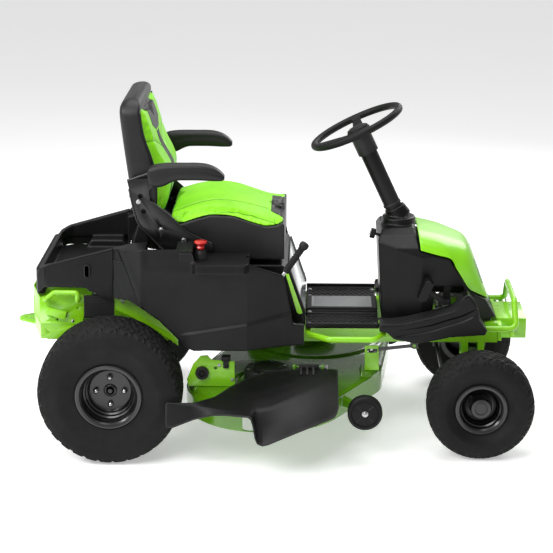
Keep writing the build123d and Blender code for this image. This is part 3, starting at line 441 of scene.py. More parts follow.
# what repeated pieces wear and ride on: material, body, slot
DARK_TRIM = (BODY_DARK, "chassis", "body_plastic")
BODY_TRIM = (BODY, "chassis", "body_plastic")
BLACK_TRIM = (BLACK_PLASTIC, "chassis", "body_plastic")
GREEN_STEEL = (GREEN_FRAME, "chassis", "frame_green")
CHASSIS_BOLTS = (STEEL, "chassis", "bare_steel")
DECK_BOLTS = (STEEL, "deck", "bare_steel")
DECK_TRIM = (BLACK_PLASTIC, "deck", "soft_black")
CHUTE_TRIM = (CHUTE_PLASTIC, "chute", "soft_black")
GREY_TRIM = (GREY_PLASTIC, "chassis", "body_plastic")
SEAT_TRIM = (DARK_VINYL, "seat", "soft_black")
SEAT_PIPING = (GREEN_THREAD, "seat", "seat_vinyl")
SEAT_COVER = (GREEN_VINYL, "seat", "seat_vinyl")


# ---------------------------------------------------------------- tyres and rims
REAR = dict(radius=254.0, width=200.0, bead=101.6, flange=115.0, bead_w=165.4, lugs=60, depth=6.0)
FRONT = dict(radius=190.5, width=150.0, bead=76.2, flange=90.0, bead_w=105.4, lugs=50, depth=5.0)


def step(edge, x, soft):
    t = np.clip((x - edge) / soft + 0.5, 0, 1)
    return t * t * (3 - 2 * t)


def triangle(x):
    return 2 * np.abs(2 * (x - np.floor(x + 0.5))) - 1


def tread(angle_turns, y, spec):
    """1 on a lug, 0 in a groove: zigzag ribs cut by slanted sipes, ending in a saw-tooth shoulder."""
    half = spec["width"] / 2
    pitch = spec["lugs"]
    wave = triangle(angle_turns * pitch)
    shoulder = half * 0.87 + wave * half * 0.05
    height = 1 - step(0.0, np.abs(y) - shoulder, 3.0)
    for row, share in enumerate((-0.62, -0.31, 0.0, 0.31, 0.62)):
        centre = share * half + wave * half * 0.055 * (-1) ** row
        height *= step(half * 0.035, np.abs(y - centre), 2.4)
        inside = step(0.0, half * 0.13 - np.abs(y - centre - half * 0.155), 3.0)
        phase = angle_turns * pitch * 0.5 + row * 0.5 + (y / half) * 0.4
        sipe = 1 - step(0.13, np.abs(phase - np.round(phase)), 0.07)
        height *= 1 - sipe * inside
    return height


def tyre_surface(spec, centre, side):
    r, w, b = spec["radius"], spec["width"] / 2, spec["bead_w"] / 2
    side_r = spec["bead"] + (r - spec["bead"]) * 0.52
    bead_ring = [(spec["bead"], b - 10), (spec["bead"], b), (spec["flange"] + 1.5, b),
                 (spec["flange"] + 6, b + 2.5), (spec["flange"] + 8, b + 1.6)]
    wall = [(side_r - 12, w - 2), (side_r, w), (side_r + 14, w - 1), (r - 17, w - 9), (r - 9, w - 17)]
    crown = [(r - 3, w * 0.62), (r - 1, w * 0.38), (r, 0)]
    half_line = [Vector((a, c, 0)) for a, c in bead_ring + wall + crown]
    line = curve_through(half_line, 7)
    line = [(p.x, p.y) for p in line]
    line = [(a, -c) for a, c in line] + line[-2::-1]
    profile = np.array(line)
    turns = spec["lugs"] * 12
    theta = np.arange(turns) / turns
    y = profile[:, 1][None, :]
    r0 = profile[:, 0][None, :]
    zone = step(r - 26, r0, 12)
    height = tread(theta[:, None], np.repeat(y, turns, 0), spec)
    radius = np.minimum(r0, r) - spec["depth"] * zone * (1 - height)
    angle = theta[:, None] * 2 * pi
    x = centre[0] + radius * np.cos(angle)
    z = centre[2] + radius * np.sin(angle)
    yy = centre[1] + side * np.repeat(y, turns, 0)
    verts = np.stack([x, yy, z], -1).reshape(-1, 3)
    return verts.tolist(), grid_faces(turns, profile.shape[0], True, True)


def tyres():
    for name, side in SIDES:
        for end, spec, x, track in (("rear", REAR, 0.0, REAR_TRACK), ("front", FRONT, WHEELBASE, FRONT_TRACK)):
            verts, faces = tyre_surface(spec, (x, side * track, spec["radius"]), side)
            obj = place(f"{end}_tyre_{name}_tread", verts, faces, TYRE, f"{end}_wheel_{name}", "tyre",
                        (f"{end}_tyre_{name}",), 50)
            tidy_normals(obj)


def rims():
    rear = [(98, -86), (115, -88), (115, -85), (101, -83), (101, 83), (104, 86), (112, 86.5), (115, 84), (115.5, 88),
            (111, 90), (102, 88), (97, 82), (95, 70), (92, 66), (91, 50), (86, 46), (84, 34), (79, 30), (77, 18),
            (72, 13.5), (24, 13.5), (22, 12), (22, 8), (76, 9), (84, 24), (92, 40), (97, 60), (97, -60)]
    front = [(73, -56), (90, -58), (90, -55), (76, -53), (76, 53), (80, 56), (87, 56.5), (90, 54), (90.5, 58),
             (86, 60), (78, 58), (73, 52), (71, 40), (66, 36), (64, 22), (60, 18), (58, 6), (52, 2), (42, 1),
             (40, 4), (38.5, 40), (37, 46), (34, 50), (22, 52), (20, 49), (2, 49), (0.5, 49), (0.5, 46), (13, 46),
             (13, -44), (24, -44), (24, -8), (60, -2), (70, 20), (73, 40), (73, -40)]
    for name, side in SIDES:
        for end, profile, spec, x, track, segments in (("rear", rear, REAR, 0.0, REAR_TRACK, 128),
                                                       ("front", front, FRONT, WHEELBASE, FRONT_TRACK, 112)):
            disc = lathe(profile, (x, side * track, spec["radius"]), side, segments)
            tidy_normals(place(f"{end}_rim_{name}_disc", *disc, BLACK_PAINT, f"{end}_wheel_{name}", "black_steel",
                               (f"{end}_rim_{name}",), 28))
        a = radians(128)
        base, tip = (Vector((WHEELBASE + r * cos(a), side * (FRONT_TRACK + out), FRONT["radius"] + r * sin(a)))
                     for r, out in ((52, 6), (58, 40)))
        stem = join([disc_bar(base, tip, 4.2, 16, 1), disc_bar(tip, tip + Vector((0, side * 10, 0)), 3.2, 16, 0.8)])
        place(f"valve_{name}", *stem, GAUGE, f"front_wheel_{name}", "gauge_rubber")


# ---------------------------------------------------------------- shared shaping helpers
def table_of(points):
    """Smooth line through (x, value) points, for along_table."""
    line = curve_through([(a, b, 0) for a, b in points], 6)
    return [q.x for q in line], [q.y for q in line]


def along_table(table, x):
    return float(np.interp(x, *table))


def mirrored(verts, side):
    """Right-hand shape moved to the named side of the machine."""
    return [(x, y * -side, z) for x, y, z in verts]


def sided(name, part, side, material, body, slot, replaces=(), angle=40):
    verts, faces = part
    return tidy_normals(place(name, mirrored(verts, side), faces, material, body, slot, replaces, angle))


def bolt(centre, axis, radius=7.0, height=5.0):
    """Flanged hexagon head standing on a surface."""
    c, n = Vector(centre), Vector(axis).normalized()
    flange = turned_between(c, c + n, [(0, radius * 1.28), (height * 0.22, radius * 1.28), (height * 0.36, radius)])
    head = turned_between(c, c + n, [(height * 0.2, radius * 0.98), (height * 0.85, radius * 0.98),
                                     (height, radius * 0.84)], 6)
    return join([flange, head])


def superellipse(half_y, low, high, count, power):
    """Closed (y, z) ring between low and high."""
    ring = []
    for k in range(count):
        a = 2 * pi * k / count
        scale = (abs(cos(a)) ** power + abs(sin(a)) ** power) ** (-1 / power)
        ring.append((half_y * cos(a) * scale, (low + high) / 2 + (high - low) / 2 * sin(a) * scale))
    return ring


def bevelled(node, material, body, slot, width):
    """Copy of a steel CAD node with eased edges."""
    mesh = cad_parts[node].data.copy()
    obj = new_object(node + "_eased", mesh)
    weld(mesh, flatten=True)
    return dress(smooth(bevel(obj, width, 32), 34), material, body, (node,))


def shell_of(verts, faces, thickness):
    """Closed shell of a grid surface, thickened below its normals."""
    mesh = bpy.data.meshes.new("shell")
    mesh.from_pydata([tuple(v) for v in verts], [], faces)
    obj = new_object("shell", mesh)
    solid = obj.modifiers.new("wall", "SOLIDIFY")
    solid.thickness, solid.offset = thickness, -1
    applied(obj)
    made = [tuple(v.co) for v in obj.data.vertices], [tuple(q.vertices) for q in obj.data.polygons]
    bpy.data.objects.remove(obj)
    return made


def to_machine(point):
    return (Vector(point) - ORIGIN) / MM


def warp(obj, move):
    """Moves each vertex by a function of its machine-frame place and normal."""
    normals = [v.normal.copy() for v in obj.data.vertices]
    for v, n in zip(obj.data.vertices, normals):
        v.co = ORIGIN + Vector(move(to_machine(v.co), n)) * MM
    obj.data.update()
    return obj


def bump_at(x, centre, width):
    return float(np.exp(-((x - centre) / width) ** 2))


def ease(x, low, high):
    t = min(1.0, max(0.0, (x - low) / (high - low)))
    return t * t * (3 - 2 * t)


def ease_edges(obj, width):
    return smooth(bevel(obj, width, 40), 40)


# ---------------------------------------------------------------- cushions
def puffed(obj, cap, keep):
    """Inflates a closed pad as cloth; points where keep(normal) is true, and any past cap, stay near their start."""
    voxels(obj, 5)
    applied(obj)
    rest = [v.co.copy() for v in obj.data.vertices]
    normals = [v.normal.copy() for v in obj.data.vertices]
    cloth = obj.modifiers.new("cloth", "CLOTH")
    cloth.settings.quality, cloth.settings.mass = 5, 0.3
    cloth.settings.use_pressure, cloth.settings.uniform_pressure_force = True, 4
    cloth.settings.effector_weights.gravity = 0
    for step_number in range(1, 21):
        SCENE.frame_set(step_number)
    graph = bpy.context.evaluated_depsgraph_get()
    moved = [v.co.copy() for v in obj.evaluated_get(graph).data.vertices]
    obj.modifiers.clear()
    for v, start, now, n in zip(obj.data.vertices, rest, moved, normals):
        shift = now - start
        if keep(n):
            shift *= 0.05
        v.co = start + shift * min(1.0, cap * MM / max(shift.length, 1e-9))
    SCENE.frame_set(1)
    melt(obj, 3)
    smoother = obj.modifiers.new("subdivision", "SUBSURF")
    smoother.levels = smoother.render_levels = 1
    return smooth(applied(obj), 60)


def seam_channel(obj, lines, depth, width, axes):
    """Draws the surface in along seam lines given in two machine axes."""
    marks = np.array([[q.x, q.y] for line in lines for q in curve_through([(a, b, 0) for a, b in line], 24)])

    def move(q, n):
        spot = np.array([q[axes[0]], q[axes[1]]])
        gap = np.sqrt(((marks - spot) ** 2).sum(1).min())
        facing = n.z if axes == (0, 1) else n.x
        return q - n * depth * float(np.exp(-(gap / width) ** 2)) * max(0.0, facing) ** 0.5
    return warp(obj, move)


def seam_thread(obj, line, name, material, body, slot, axes):
    """Piping laid along a seam, found on the finished cushion by casting onto it."""
    tree = BVHTree.FromObject(obj, bpy.context.evaluated_depsgraph_get())
    points = []
    for q in curve_through([(a, b, 0) for a, b in line], 14):
        if axes == (0, 1):
            start, way = Vector((q.x, q.y, 1500)), Vector((0, 0, -1))
        else:
            start, way = Vector((900, q.x, q.y)), Vector((-1, 0, 0))
        hit = tree.ray_cast(ORIGIN + start * MM, way)[0]
        if hit is not None:
            points.append(to_machine(hit) - way * -0.4)
    return place(name, *tube_through(points, 1.5, 8), material, body, slot)


def cut_patch(source, planes, lift, name, material, body, slot):
    """Raised panel of a cushion's own surface, bounded by planes given as (point, inward normal)."""
    mesh = source.data.copy()
    obj = new_object(name, mesh)
    bm = bmesh.new()
    bm.from_mesh(mesh)
    for point, inward in planes:
        bmesh.ops.bisect_plane(bm, geom=bm.verts[:] + bm.edges[:] + bm.faces[:], clear_inner=True,
                               plane_co=ORIGIN + Vector(point) * MM, plane_no=Vector(inward))
    for v in bm.verts:
        v.co += v.normal * lift * MM
    bm.to_mesh(mesh)
    bm.free()
    solid = obj.modifiers.new("wall", "SOLIDIFY")
    solid.thickness, solid.offset = (lift + 2.0) * MM, -1
    applied(obj)
    return dress(smooth(obj, 45), material, body)


SEAT_EDGE = [(196, 806), (240, 801), (290, 818), (346, 833), (421, 829), (480, 809), (535, 793), (576, 795), (604, 806)]
SEAT_CROWN = [(196, 836), (230, 858), (290, 874), (350, 878), (411, 870), (476, 852), (542, 828), (585, 812),
              (604, 808)]


def seat_cushion():
    edge_table, crown_table = table_of(SEAT_EDGE), table_of(SEAT_CROWN)
    roof_table = table_of([(x, z + 3) for x, z in SEAT_CROWN])
    rings = []
    for x in np.linspace(200, 603, 24):
        end = abs((x - 401) / 203) ** 6
        half = 226 - 22 * end
        low = along_table(edge_table, x)
        crown = max(along_table(crown_table, x), low + 10)
        ring = []
        for y in np.linspace(-half, half, 21):
            fullness = max(0.0, 1 - abs(y / half) ** 2.2)
            ring.append((x, y, low + 9 + (crown - 5 - low - 9) * fullness ** 0.72 - 7 * bump_at(abs(y), 0, 30)))
        ring += [(x, y, low + 1) for y in np.linspace(half, -half, 21)]
        rings.append(ring)
    obj = place("seat_cushion_pad", *loft(rings), *SEAT_COVER, ("seat_cushion",))
    tidy_normals(obj)
    puffed(obj, 26, lambda n: n.z < 0.05)

    def limit(q, n):
        """Holds the inflated pad under the crown seen in the photo."""
        floor_z = along_table(edge_table, q.x) + 0.6
        fullness = max(0.0, 1 - abs(q.y / 229) ** 2.4) ** 0.6
        top = floor_z + 9 + max(2.0, along_table(roof_table, q.x) - floor_z - 9) * fullness
        side = min(228.0, max(-228.0, q.y))
        return Vector((min(606.0, max(196.0, q.x)), side, min(top, max(floor_z, q.z))))
    warp(obj, limit)
    seams = []
    for side in (-1, 1):
        seams.append([(200, side * 176), (300, side * 160), (420, side * 128), (545, side * 92)])
        seams.append([(330, side * 219), (400, side * 206), (480, side * 200), (540, side * 203), (596, side * 212)])
    seam_channel(obj, seams, 3.2, 7, (0, 1))
    for k, line in enumerate(seams):
        seam_thread(obj, line, f"seat_seam_{k}", *SEAT_PIPING, (0, 1))
    front = cut_patch(obj, [((556, 0, 0), (1, 0, 0)), ((556, -118, 0), (0.62, 0.78, 0)),
                            ((556, 118, 0), (0.62, -0.78, 0)), ((0, 0, 790), (0, 0, 1))],
                      1.6, "seat_nose_panel", *SEAT_TRIM)


BACK_BASE = [(812, 143), (880, 150), (960, 150), (1010, 142), (1058, 128), (1094, 115), (1135, 105), (1196, 96)]
BACK_FRONT = [(812, 158), (845, 178), (900, 190), (940, 196), (972, 196), (998, 186), (1060, 153), (1136, 131),
              (1180, 116), (1200, 106)]


def seat_back():
    rings = []
    base, front = table_of(BACK_BASE), table_of(BACK_FRONT)
    for z in np.linspace(816, 1200, 24):
        half = 209 - 16 * abs((z - 1006) / 194) ** 6
        back, crown = along_table(base, z), along_table(front, z)
        ring = [(back + 7 + (crown - 4 - back - 7) * max(0.0, 1 - abs(y / half) ** 2.4) ** 0.7
                 - 9 * bump_at(y, 0, 26), y, z) for y in np.linspace(-half, half, 21)]
        ring += [(back + 0.8, y, z) for y in np.linspace(half, -half, 21)]
        rings.append(ring)
    obj = place("seat_back_pad", *loft(rings), *SEAT_COVER, ("seat_back_cushion",))
    tidy_normals(obj)
    puffed(obj, 24, lambda n: n.x < 0.05)
    warp(obj, lambda q, n: Vector((min(along_table(front, q.z) + 2, max(along_table(base, q.z) + 0.5, q.x)),
                                   min(211.0, max(-211.0, q.y)), min(1203.0, q.z))))
    seams = [[(side * 205, 1092), (side * 150, 1085), (side * 70, 1058), (side * 34, 1040)] for side in (-1, 1)]
    seams += [[(side * 32, 1098), (side * 32, 1000), (side * 32, 860)] for side in (-1, 1)]
    seam_channel(obj, seams, 3.0, 7, (1, 2))
    for k, line in enumerate(seams):
        seam_thread(obj, line, f"back_seam_{k}", *SEAT_PIPING, (1, 2))
    channel = cut_patch(obj, [((0, -31, 0), (0, 1, 0)), ((0, 31, 0), (0, -1, 0)), ((0, 0, 1096), (0, 0, -1)),
                              ((0, 0, 826), (0, 0, 1))], 0.7, "back_centre_channel", *SEAT_TRIM)
    top = cut_patch(obj, [((0, -104, 1150), (0, 1, 0)), ((0, 104, 1150), (0, -1, 0)),
                          ((0, -104, 1132), (0, 0.45, 1)), ((0, 104, 1132), (0, -0.45, 1)),
                          ((0, 0, 1104), (0, 0, 1))], 1.4, "back_head_panel", *SEAT_TRIM)


def rounded_ring(x_back, x_front, half, z, back_r, front_r):
    """Rounded rectangle seen from above, rear corners and front corners with their own radii."""
    ring = []
    for cx, cy, r, start in ((x_front - front_r, half - front_r, front_r, 0),
                             (x_back + back_r, half - back_r, back_r, 90),
                             (x_back + back_r, -half + back_r, back_r, 180),
                             (x_front - front_r, -half + front_r, front_r, 270)):
        for k in range(7):
            a = radians(start + 15 * k)
            ring.append((cx + r * cos(a), cy + r * sin(a), z))
    return ring


def seat_shell():
    rear = table_of([(826, 72), (962, 54), (1110, 36), (1193, 28), (1222, 33), (1234, 44), (1241, 62)])
    face = table_of(BACK_BASE[:-1] + [(1190, 98), (1215, 99), (1232, 94), (1241, 82)])
    rings = [rounded_ring(80, 138, 205, 824, 20, 8)]
    for z in list(np.linspace(830, 1180, 22)) + list(np.linspace(1188, 1241, 12)):
        drop = max(0.0, z - 1176)
        half = 226 - (66 - sqrt(max(0.0, 66 ** 2 - drop ** 2)))
        back, front = along_table(rear, z), along_table(face, z)
        span = front - back
        rings.append(rounded_ring(back, front + 3, half, z, min(30, span * 0.45), min(9, span * 0.3)))
    tidy_normals(place("seat_back_cover", *loft(rings), *SEAT_TRIM, ("seat_back_shell",), 50))
    welt = [(along_table(face, z) + 4.0, z) for z in np.linspace(846, 1196, 30)]
    for name, side in SIDES:
        place(f"back_welt_{name}", *tube_through([(x, side * 219, z) for x, z in welt], 3.2, 10), BLACK_PLASTIC, "seat",
              "soft_black")


def armrests():
    stations = [(133, 985, 1008, 18), (137, 966, 1018, 22), (146, 953, 1025, 25), (165, 949, 1031, 26.5),
                (190, 955, 1034, 27), (214, 967, 1035, 27), (236, 974, 1035, 27), (270, 975, 1035, 27),
                (305, 975, 1035, 27), (335, 974, 1032, 27), (360, 973, 1024, 26.5), (380, 973, 1012, 25),
                (392, 974, 1001, 22), (399, 978, 992, 16)]
    rings = []
    columns = [table_of([(s[0], s[k]) for s in stations]) for k in (1, 2, 3)]
    for x in np.linspace(133, 399, 60):
        low, high, half = (along_table(c, x) for c in columns)
        ring = []
        for y, z in superellipse(half, low, high, 36, 3.4):
            share = (z - low) / (high - low)
            pinch = 2.6 * bump_at(share, 0.62, 0.06) * ease(x, 150, 200)
            ring.append((x, -289 + y * (1 - 0.05 * share) - pinch * (1 if y > 0 else -1), z))
        rings.append(ring)
    for name, side in SIDES:
        obj = sided(f"armrest_{name}_pad", loft(rings), side, ARM_FOAM, f"armrest_{name}", "soft_black",
                    (f"armrest_{name}",), 60)


def seat_hardware():
    flange = [(60, -243, 930), (84, -243, 820), (120, -243, 770), (176, -243, 712)]
    edge = [(134, -243, 886), (197, -243, 838), (265, -243, 774), (350, -243, 733)]
    parts = [bolt((170, -242, 784), (0, -1, 0), 6, 4), bolt((92, -242, 884), (0, -1, 0), 6.5, 5),
             bolt((250, -242, 745), (0, -1, 0), 7, 5)]
    lips = join([tube_through(curve_through(flange, 5), 3.4, 10), tube_through(curve_through(edge, 6), 4.2, 10),
                 tube_through([(58, -243, 962), (126, -243, 986)], 3.6, 10)])
    for name, side in SIDES:
        sided(f"seat_bracket_bolts_{name}", join(parts), side, STEEL, "seat", "bare_steel")
        sided(f"seat_bracket_lips_{name}", lips, side, BLACK_PAINT, "seat", "black_steel")
    bevelled("seat_back_brackets", BLACK_PAINT, "seat", "black_steel", 1.2)


# ---------------------------------------------------------------- front body
HOOD_LINES = [((1087, 743), (1093.5, 697), 188), ((1130, 734), (1150, 681), 189), ((1170, 723), (1201, 666), 187.5),
              ((1228, 704), (1222, 630), 184), ((1262, 688), (1240, 600), 178), ((1283, 660), (1255, 574), 172),
              ((1298, 624), (1274, 547), 164), ((1322, 560), (1305, 527), 148), ((1348, 489), (1336, 506), 122)]


def hood_cover():
    crown = curve_through([(p[0], 0, p[1]) for p, _, _ in HOOD_LINES], 5)
    eaves = curve_through([(q[0], w, q[1]) for _, q, w in HOOD_LINES], 5)
    verts, columns = [], 33
    for p, q in zip(crown, eaves):
        for k in range(columns):
            v = 2 * k / (columns - 1) - 1
            bend = (1 - abs(v) ** 3.4) ** 0.5
            verts.append((q.x + (p.x - q.x) * bend, q.y * np.sign(v) * abs(v) ** 0.86, q.z + (p.z - q.z) * bend))
    rows = len(crown)
    body = shell_of(verts, grid_faces(rows, columns), 3.5)
    obj = tidy_normals(place("hood_cover", *body, GREEN_HOOD, "chassis", "hood_green", ("hood",), 30))
    smooth(bevel(obj, 1.2, 50), 35)


def oval_dimple(centre, along_x, half_w, height, slope=0.0):
    """Raised oval grip pad on a tread."""
    x, y, z = centre
    rings = []
    for scale, lift in ((1.0, -1.0), (1.0, height * 0.35), (0.82, height * 0.85), (0.45, height)):
        rings.append([(x + along_x * scale * cos(a), y + half_w * scale * sin(a),
                       z + lift + slope * along_x * scale * cos(a)) for a in [2 * pi * k / 14 for k in range(14)]])
    return loft(rings)


def treads():
    pads = []
    for row, y in enumerate(range(128, 242, 19)):
        for k in range(11):
            x = 700 + 22 * k + (11 if row % 2 else 0)
            if 694 < x < 938:
                pads.append(oval_dimple((x, -y, 429), 7.5, 4.6, 2.6))
    line = table_of([(946, 440), (1030, 449), (1085, 462), (1146, 478), (1212, 501), (1228, 517), (1240, 543)])
    plate = [(x, y, along_table(line, x)) for x in np.linspace(949, 1238, 40) for y in (-284, -198)]
    plate = shell_of(plate, grid_faces(40, 2), 3)
    rest = []
    for row, y in enumerate(range(210, 274, 15)):
        for k in range(12):
            x = 966 + 20 * k + (10 if row % 2 else 0)
            slope = (along_table(line, x + 4) - along_table(line, x - 4)) / 8
            if x < 1200:
                rest.append(oval_dimple((x, -y, along_table(line, x) + 1), 6, 4.2, 3.2, slope))
    for name, side in SIDES:
        sided(f"floor_grips_{name}", join(pads), side, *DARK_TRIM)
        sided(f"footrest_tread_{name}", plate, side, *DARK_TRIM)
        sided(f"footrest_grips_{name}", join(rest), side, *DARK_TRIM)
        sided(f"floor_bolts_{name}", join([bolt((x, -y, z), (0, 0, 1), 6.5, 4.5) for x, y, z in
                                           ((697, 216, 429), (697, 100, 438), (934, 216, 429))]), side, *CHASSIS_BOLTS)
    rounded("floorboard", *DARK_TRIM, 2.6, 4)


def footrests():
    obj = rounded("front_fenders", *DARK_TRIM, 2.8, 5)

    def swoosh(q, n):
        """Sunken band that sweeps along the skirt."""
        if abs(q.y) < 280:
            return q
        middle_z = along_table(band, q.x)
        inside = ease(q.x, 985, 1040) * (1 - ease(q.x, 1262, 1300))
        dent = 5.0 * inside * (1 - ease(abs(q.z - middle_z), 9, 15))
        return Vector((q.x, q.y - np.sign(q.y) * dent, q.z))
    band = table_of([(960, 414), (1035, 420), (1123, 436), (1181, 455), (1240, 474), (1290, 500)])
    warp(obj, swoosh)
    rim = curve_through([(950, -288, 448), (1030, -288, 452), (1100, -288, 468), (1146, -288, 480), (1215, -288, 504),
                         (1240, -288, 546), (1260, -287, 557), (1286, -286, 524), (1300, -286, 472)], 5)
    ridge = curve_through([(1004, -289, 402), (1077, -289, 388), (1150, -289, 402), (1240, -289, 428),
                           (1288, -288, 452)], 6)
    for name, side in SIDES:
        sided(f"footrest_rim_{name}", tube_through(rim, 4.0, 12), side, *DARK_TRIM, (), 60)
        sided(f"footrest_ridge_{name}", tube_through(ridge, 3.0, 10), side, *DARK_TRIM, (), 60)


def tower():
    rounded("console_tower", *DARK_TRIM, 3.2, 6)
    rings = [(0, 31.5), (1, 34), (6, 34), (9, 31.5)]
    base = WHEEL_HUB - COLUMN_AXIS * 318
    place("column_boot", *turned_between(base, base + COLUMN_AXIS, rings, 40), *BLACK_TRIM)


def dash_star():
    back = Vector((-cos(radians(14)), 0, sin(radians(14))))
    face = Vector((936, -100, 735)) + back * 21
    place("dash_knob_cap", *turned_between(face, face + back, [(-0.5, 9), (1.5, 9), (3, 7)], 24), GREY_PLASTIC,
          "dash_knob", "soft_black")
    rounded("dash_knob", BLACK_PLASTIC, "dash_knob", "soft_black", 1.0, 3)


# ---------------------------------------------------------------- rear body
def fender_style(q, n):
    """Styling of the side panels: scooped crease behind the wheel arch, flared lower band, raised upper panel."""
    reach = abs(q.y)
    if reach < 290 or (reach < 380 and q.x > 240 and q.z < 690 and abs(n.y) < 0.3):
        return q
    out = 1 if q.y > 0 else -1
    facing = max(0.0, n.y * out)
    crease = 96 - (q.z - 560) * 0.42
    scoop = 13.0 * ease(q.x, crease - 96, crease - 10) * (1 - ease(q.x, crease - 6, crease + 4)) * (q.x > 4)
    swell = 3.0 * bump_at(q.x, crease + 16, 14)
    fall = 452 + 0.16 * (q.x - 300)
    band = 8.0 * (1 - ease(q.z, fall - 4, fall + 10)) * ease(q.x, 210, 290)
    upper = 11.0 * ease(q.z, 668, 742) * ease(q.x, 100, 140)
    lean = 12.0 * ease(q.z, 575, 715) * (q.x < 3)
    return Vector((q.x, q.y + out * facing * (band + swell - scoop - upper - lean), q.z))


def side_panels():
    for name, side in SIDES:
        obj = rounded(f"fender_{name}", *BODY_TRIM, 3.4, 7)
        warp(obj, fender_style)
    obj = rounded("cargo_bed", *BODY_TRIM, 3.6, 7)
    warp(obj, fender_style)
    turns = [2 * pi * j / 28 + 0.05 for j in range(28)]
    slot = [[(-90 + 8.5 * cos(a) * k, -302.4 + 1.5 * d, 645 + (14 if sin(a) > 0 else -14) + 8.5 * sin(a) * k)
             for a in turns] for k, d in ((1.25, 1), (1.25, -1), (0.85, -1.6), (0.7, 1))]
    for name, side in SIDES:
        sided(f"bed_slot_{name}", loft(slot), side, *BLACK_TRIM)


def pedestal():
    rounded("seat_pedestal", *DARK_TRIM, 3.4, 5)
    top, low = Vector((620, 0, 640)), Vector((681, 0, 462))
    down = (low - top).normalized()
    out = Vector((-down.z, 0, down.x)) * -1
    out = out if out.x > 0 else -out

    def plate(y0, y1, start, end, lift, thick):
        corners = []
        for depth in (lift, lift + thick):
            corners += [top + down * along + out * depth + Vector((0, y, 0))
                        for along, y in ((start, y0), (end, y0), (end, y1), (start, y1))]
        return corners, BLOCK_FACES
    panel = tidy_normals(place("pedestal_front_panel", *plate(-196, 196, 4, 184, 0.5, 2.2), PANEL_GREY, "chassis",
                               "body_plastic"))
    ease_edges(panel, 1.0)
    post = [(606, 642), (616, 642), (672, 478), (660, 474), (652, 480)]
    post = ([(x, y, z) for y in (-244, -240.6) for x, z in post],
            [(0, 1, 2, 3, 4), (9, 8, 7, 6, 5)] + [(k, k + 5, (k + 1) % 5 + 5, (k + 1) % 5) for k in range(5)])
    for name, side in SIDES:
        sided(f"pedestal_post_{name}", post, side, *GREEN_STEEL)
    ease_edges(tidy_normals(place("tunnel_pad", *box_mesh(704, 926, -64, 64, 446, 450), *GREY_TRIM)), 1.5)
    ribs = [box_mesh(712, 918, y - 1.5, y + 1.5, 449.5, 451) for y in range(-56, 57, 8)]
    ease_edges(tidy_normals(place("tunnel_ribs", *join(ribs), *GREY_TRIM)), 0.6)
    strips = join([plate(y0, y1, 2, 186, 0.5, 4.5) for y0, y1 in ((-214, -199), (199, 214), (-232, -226), (226, 232))])
    ease_edges(tidy_normals(place("pedestal_strips", *strips, *BLACK_TRIM)), 1.2)


# ---------------------------------------------------------------- deck and chute
CHUTE = [(204, (-552, 248), (-556, 246), (-566, 158)), (224, (-552, 247), (-556, 243), (-566, 160)),
         (300, (-545, 246), (-556, 238), (-570, 193)), (368, (-490, 248), (-572, 234), (-592, 217)),
         (420, (-420, 262), (-592, 232), (-612, 225)), (490, (-356, 278), (-598, 236), (-640, 230)),
         (502, (-350, 281), (-598, 236), (-648, 224)), (510, (-347, 282), (-597, 237), (-656, 200)),
         (516, (-345, 283), (-596, 237), (-662, 160)), (524, (-343, 284), (-594, 237), (-666, 142)),
         (540, (-338, 288), (-588, 238), (-668, 136)), (560, (-334, 292), (-580, 238), (-668, 141)),
         (650, (-332, 300), (-520, 262), (-664, 180)), (770, (-332, 300), (-430, 290), (-652, 228)),
         (800, (-332, 296), (-410, 291), (-640, 241))]


def chute_point(x, share, columns):
    """Point of the chute's top skin: share runs from the hinge edge over the fold to the outer edge."""
    (y0, z0), (y1, z1), (y2, z2) = [(along_table(c[0], x), along_table(c[1], x)) for c in columns]
    if share < 0.5:
        t = share / 0.5
        y, z = y0 + (y1 - y0) * t, z0 + (z1 - z0) * t
    else:
        t = (share - 0.5) / 0.5
        y, z = y1 + (y2 - y1) * t, z1 + (z2 - z1) * t
    soft = bump_at(share, 0.5, 0.1)
    y += ((y0 + y2) / 2 - y1) * 0.05 * soft
    z += ((z0 + z2) / 2 - z1) * 0.08 * soft
    return x, y, z


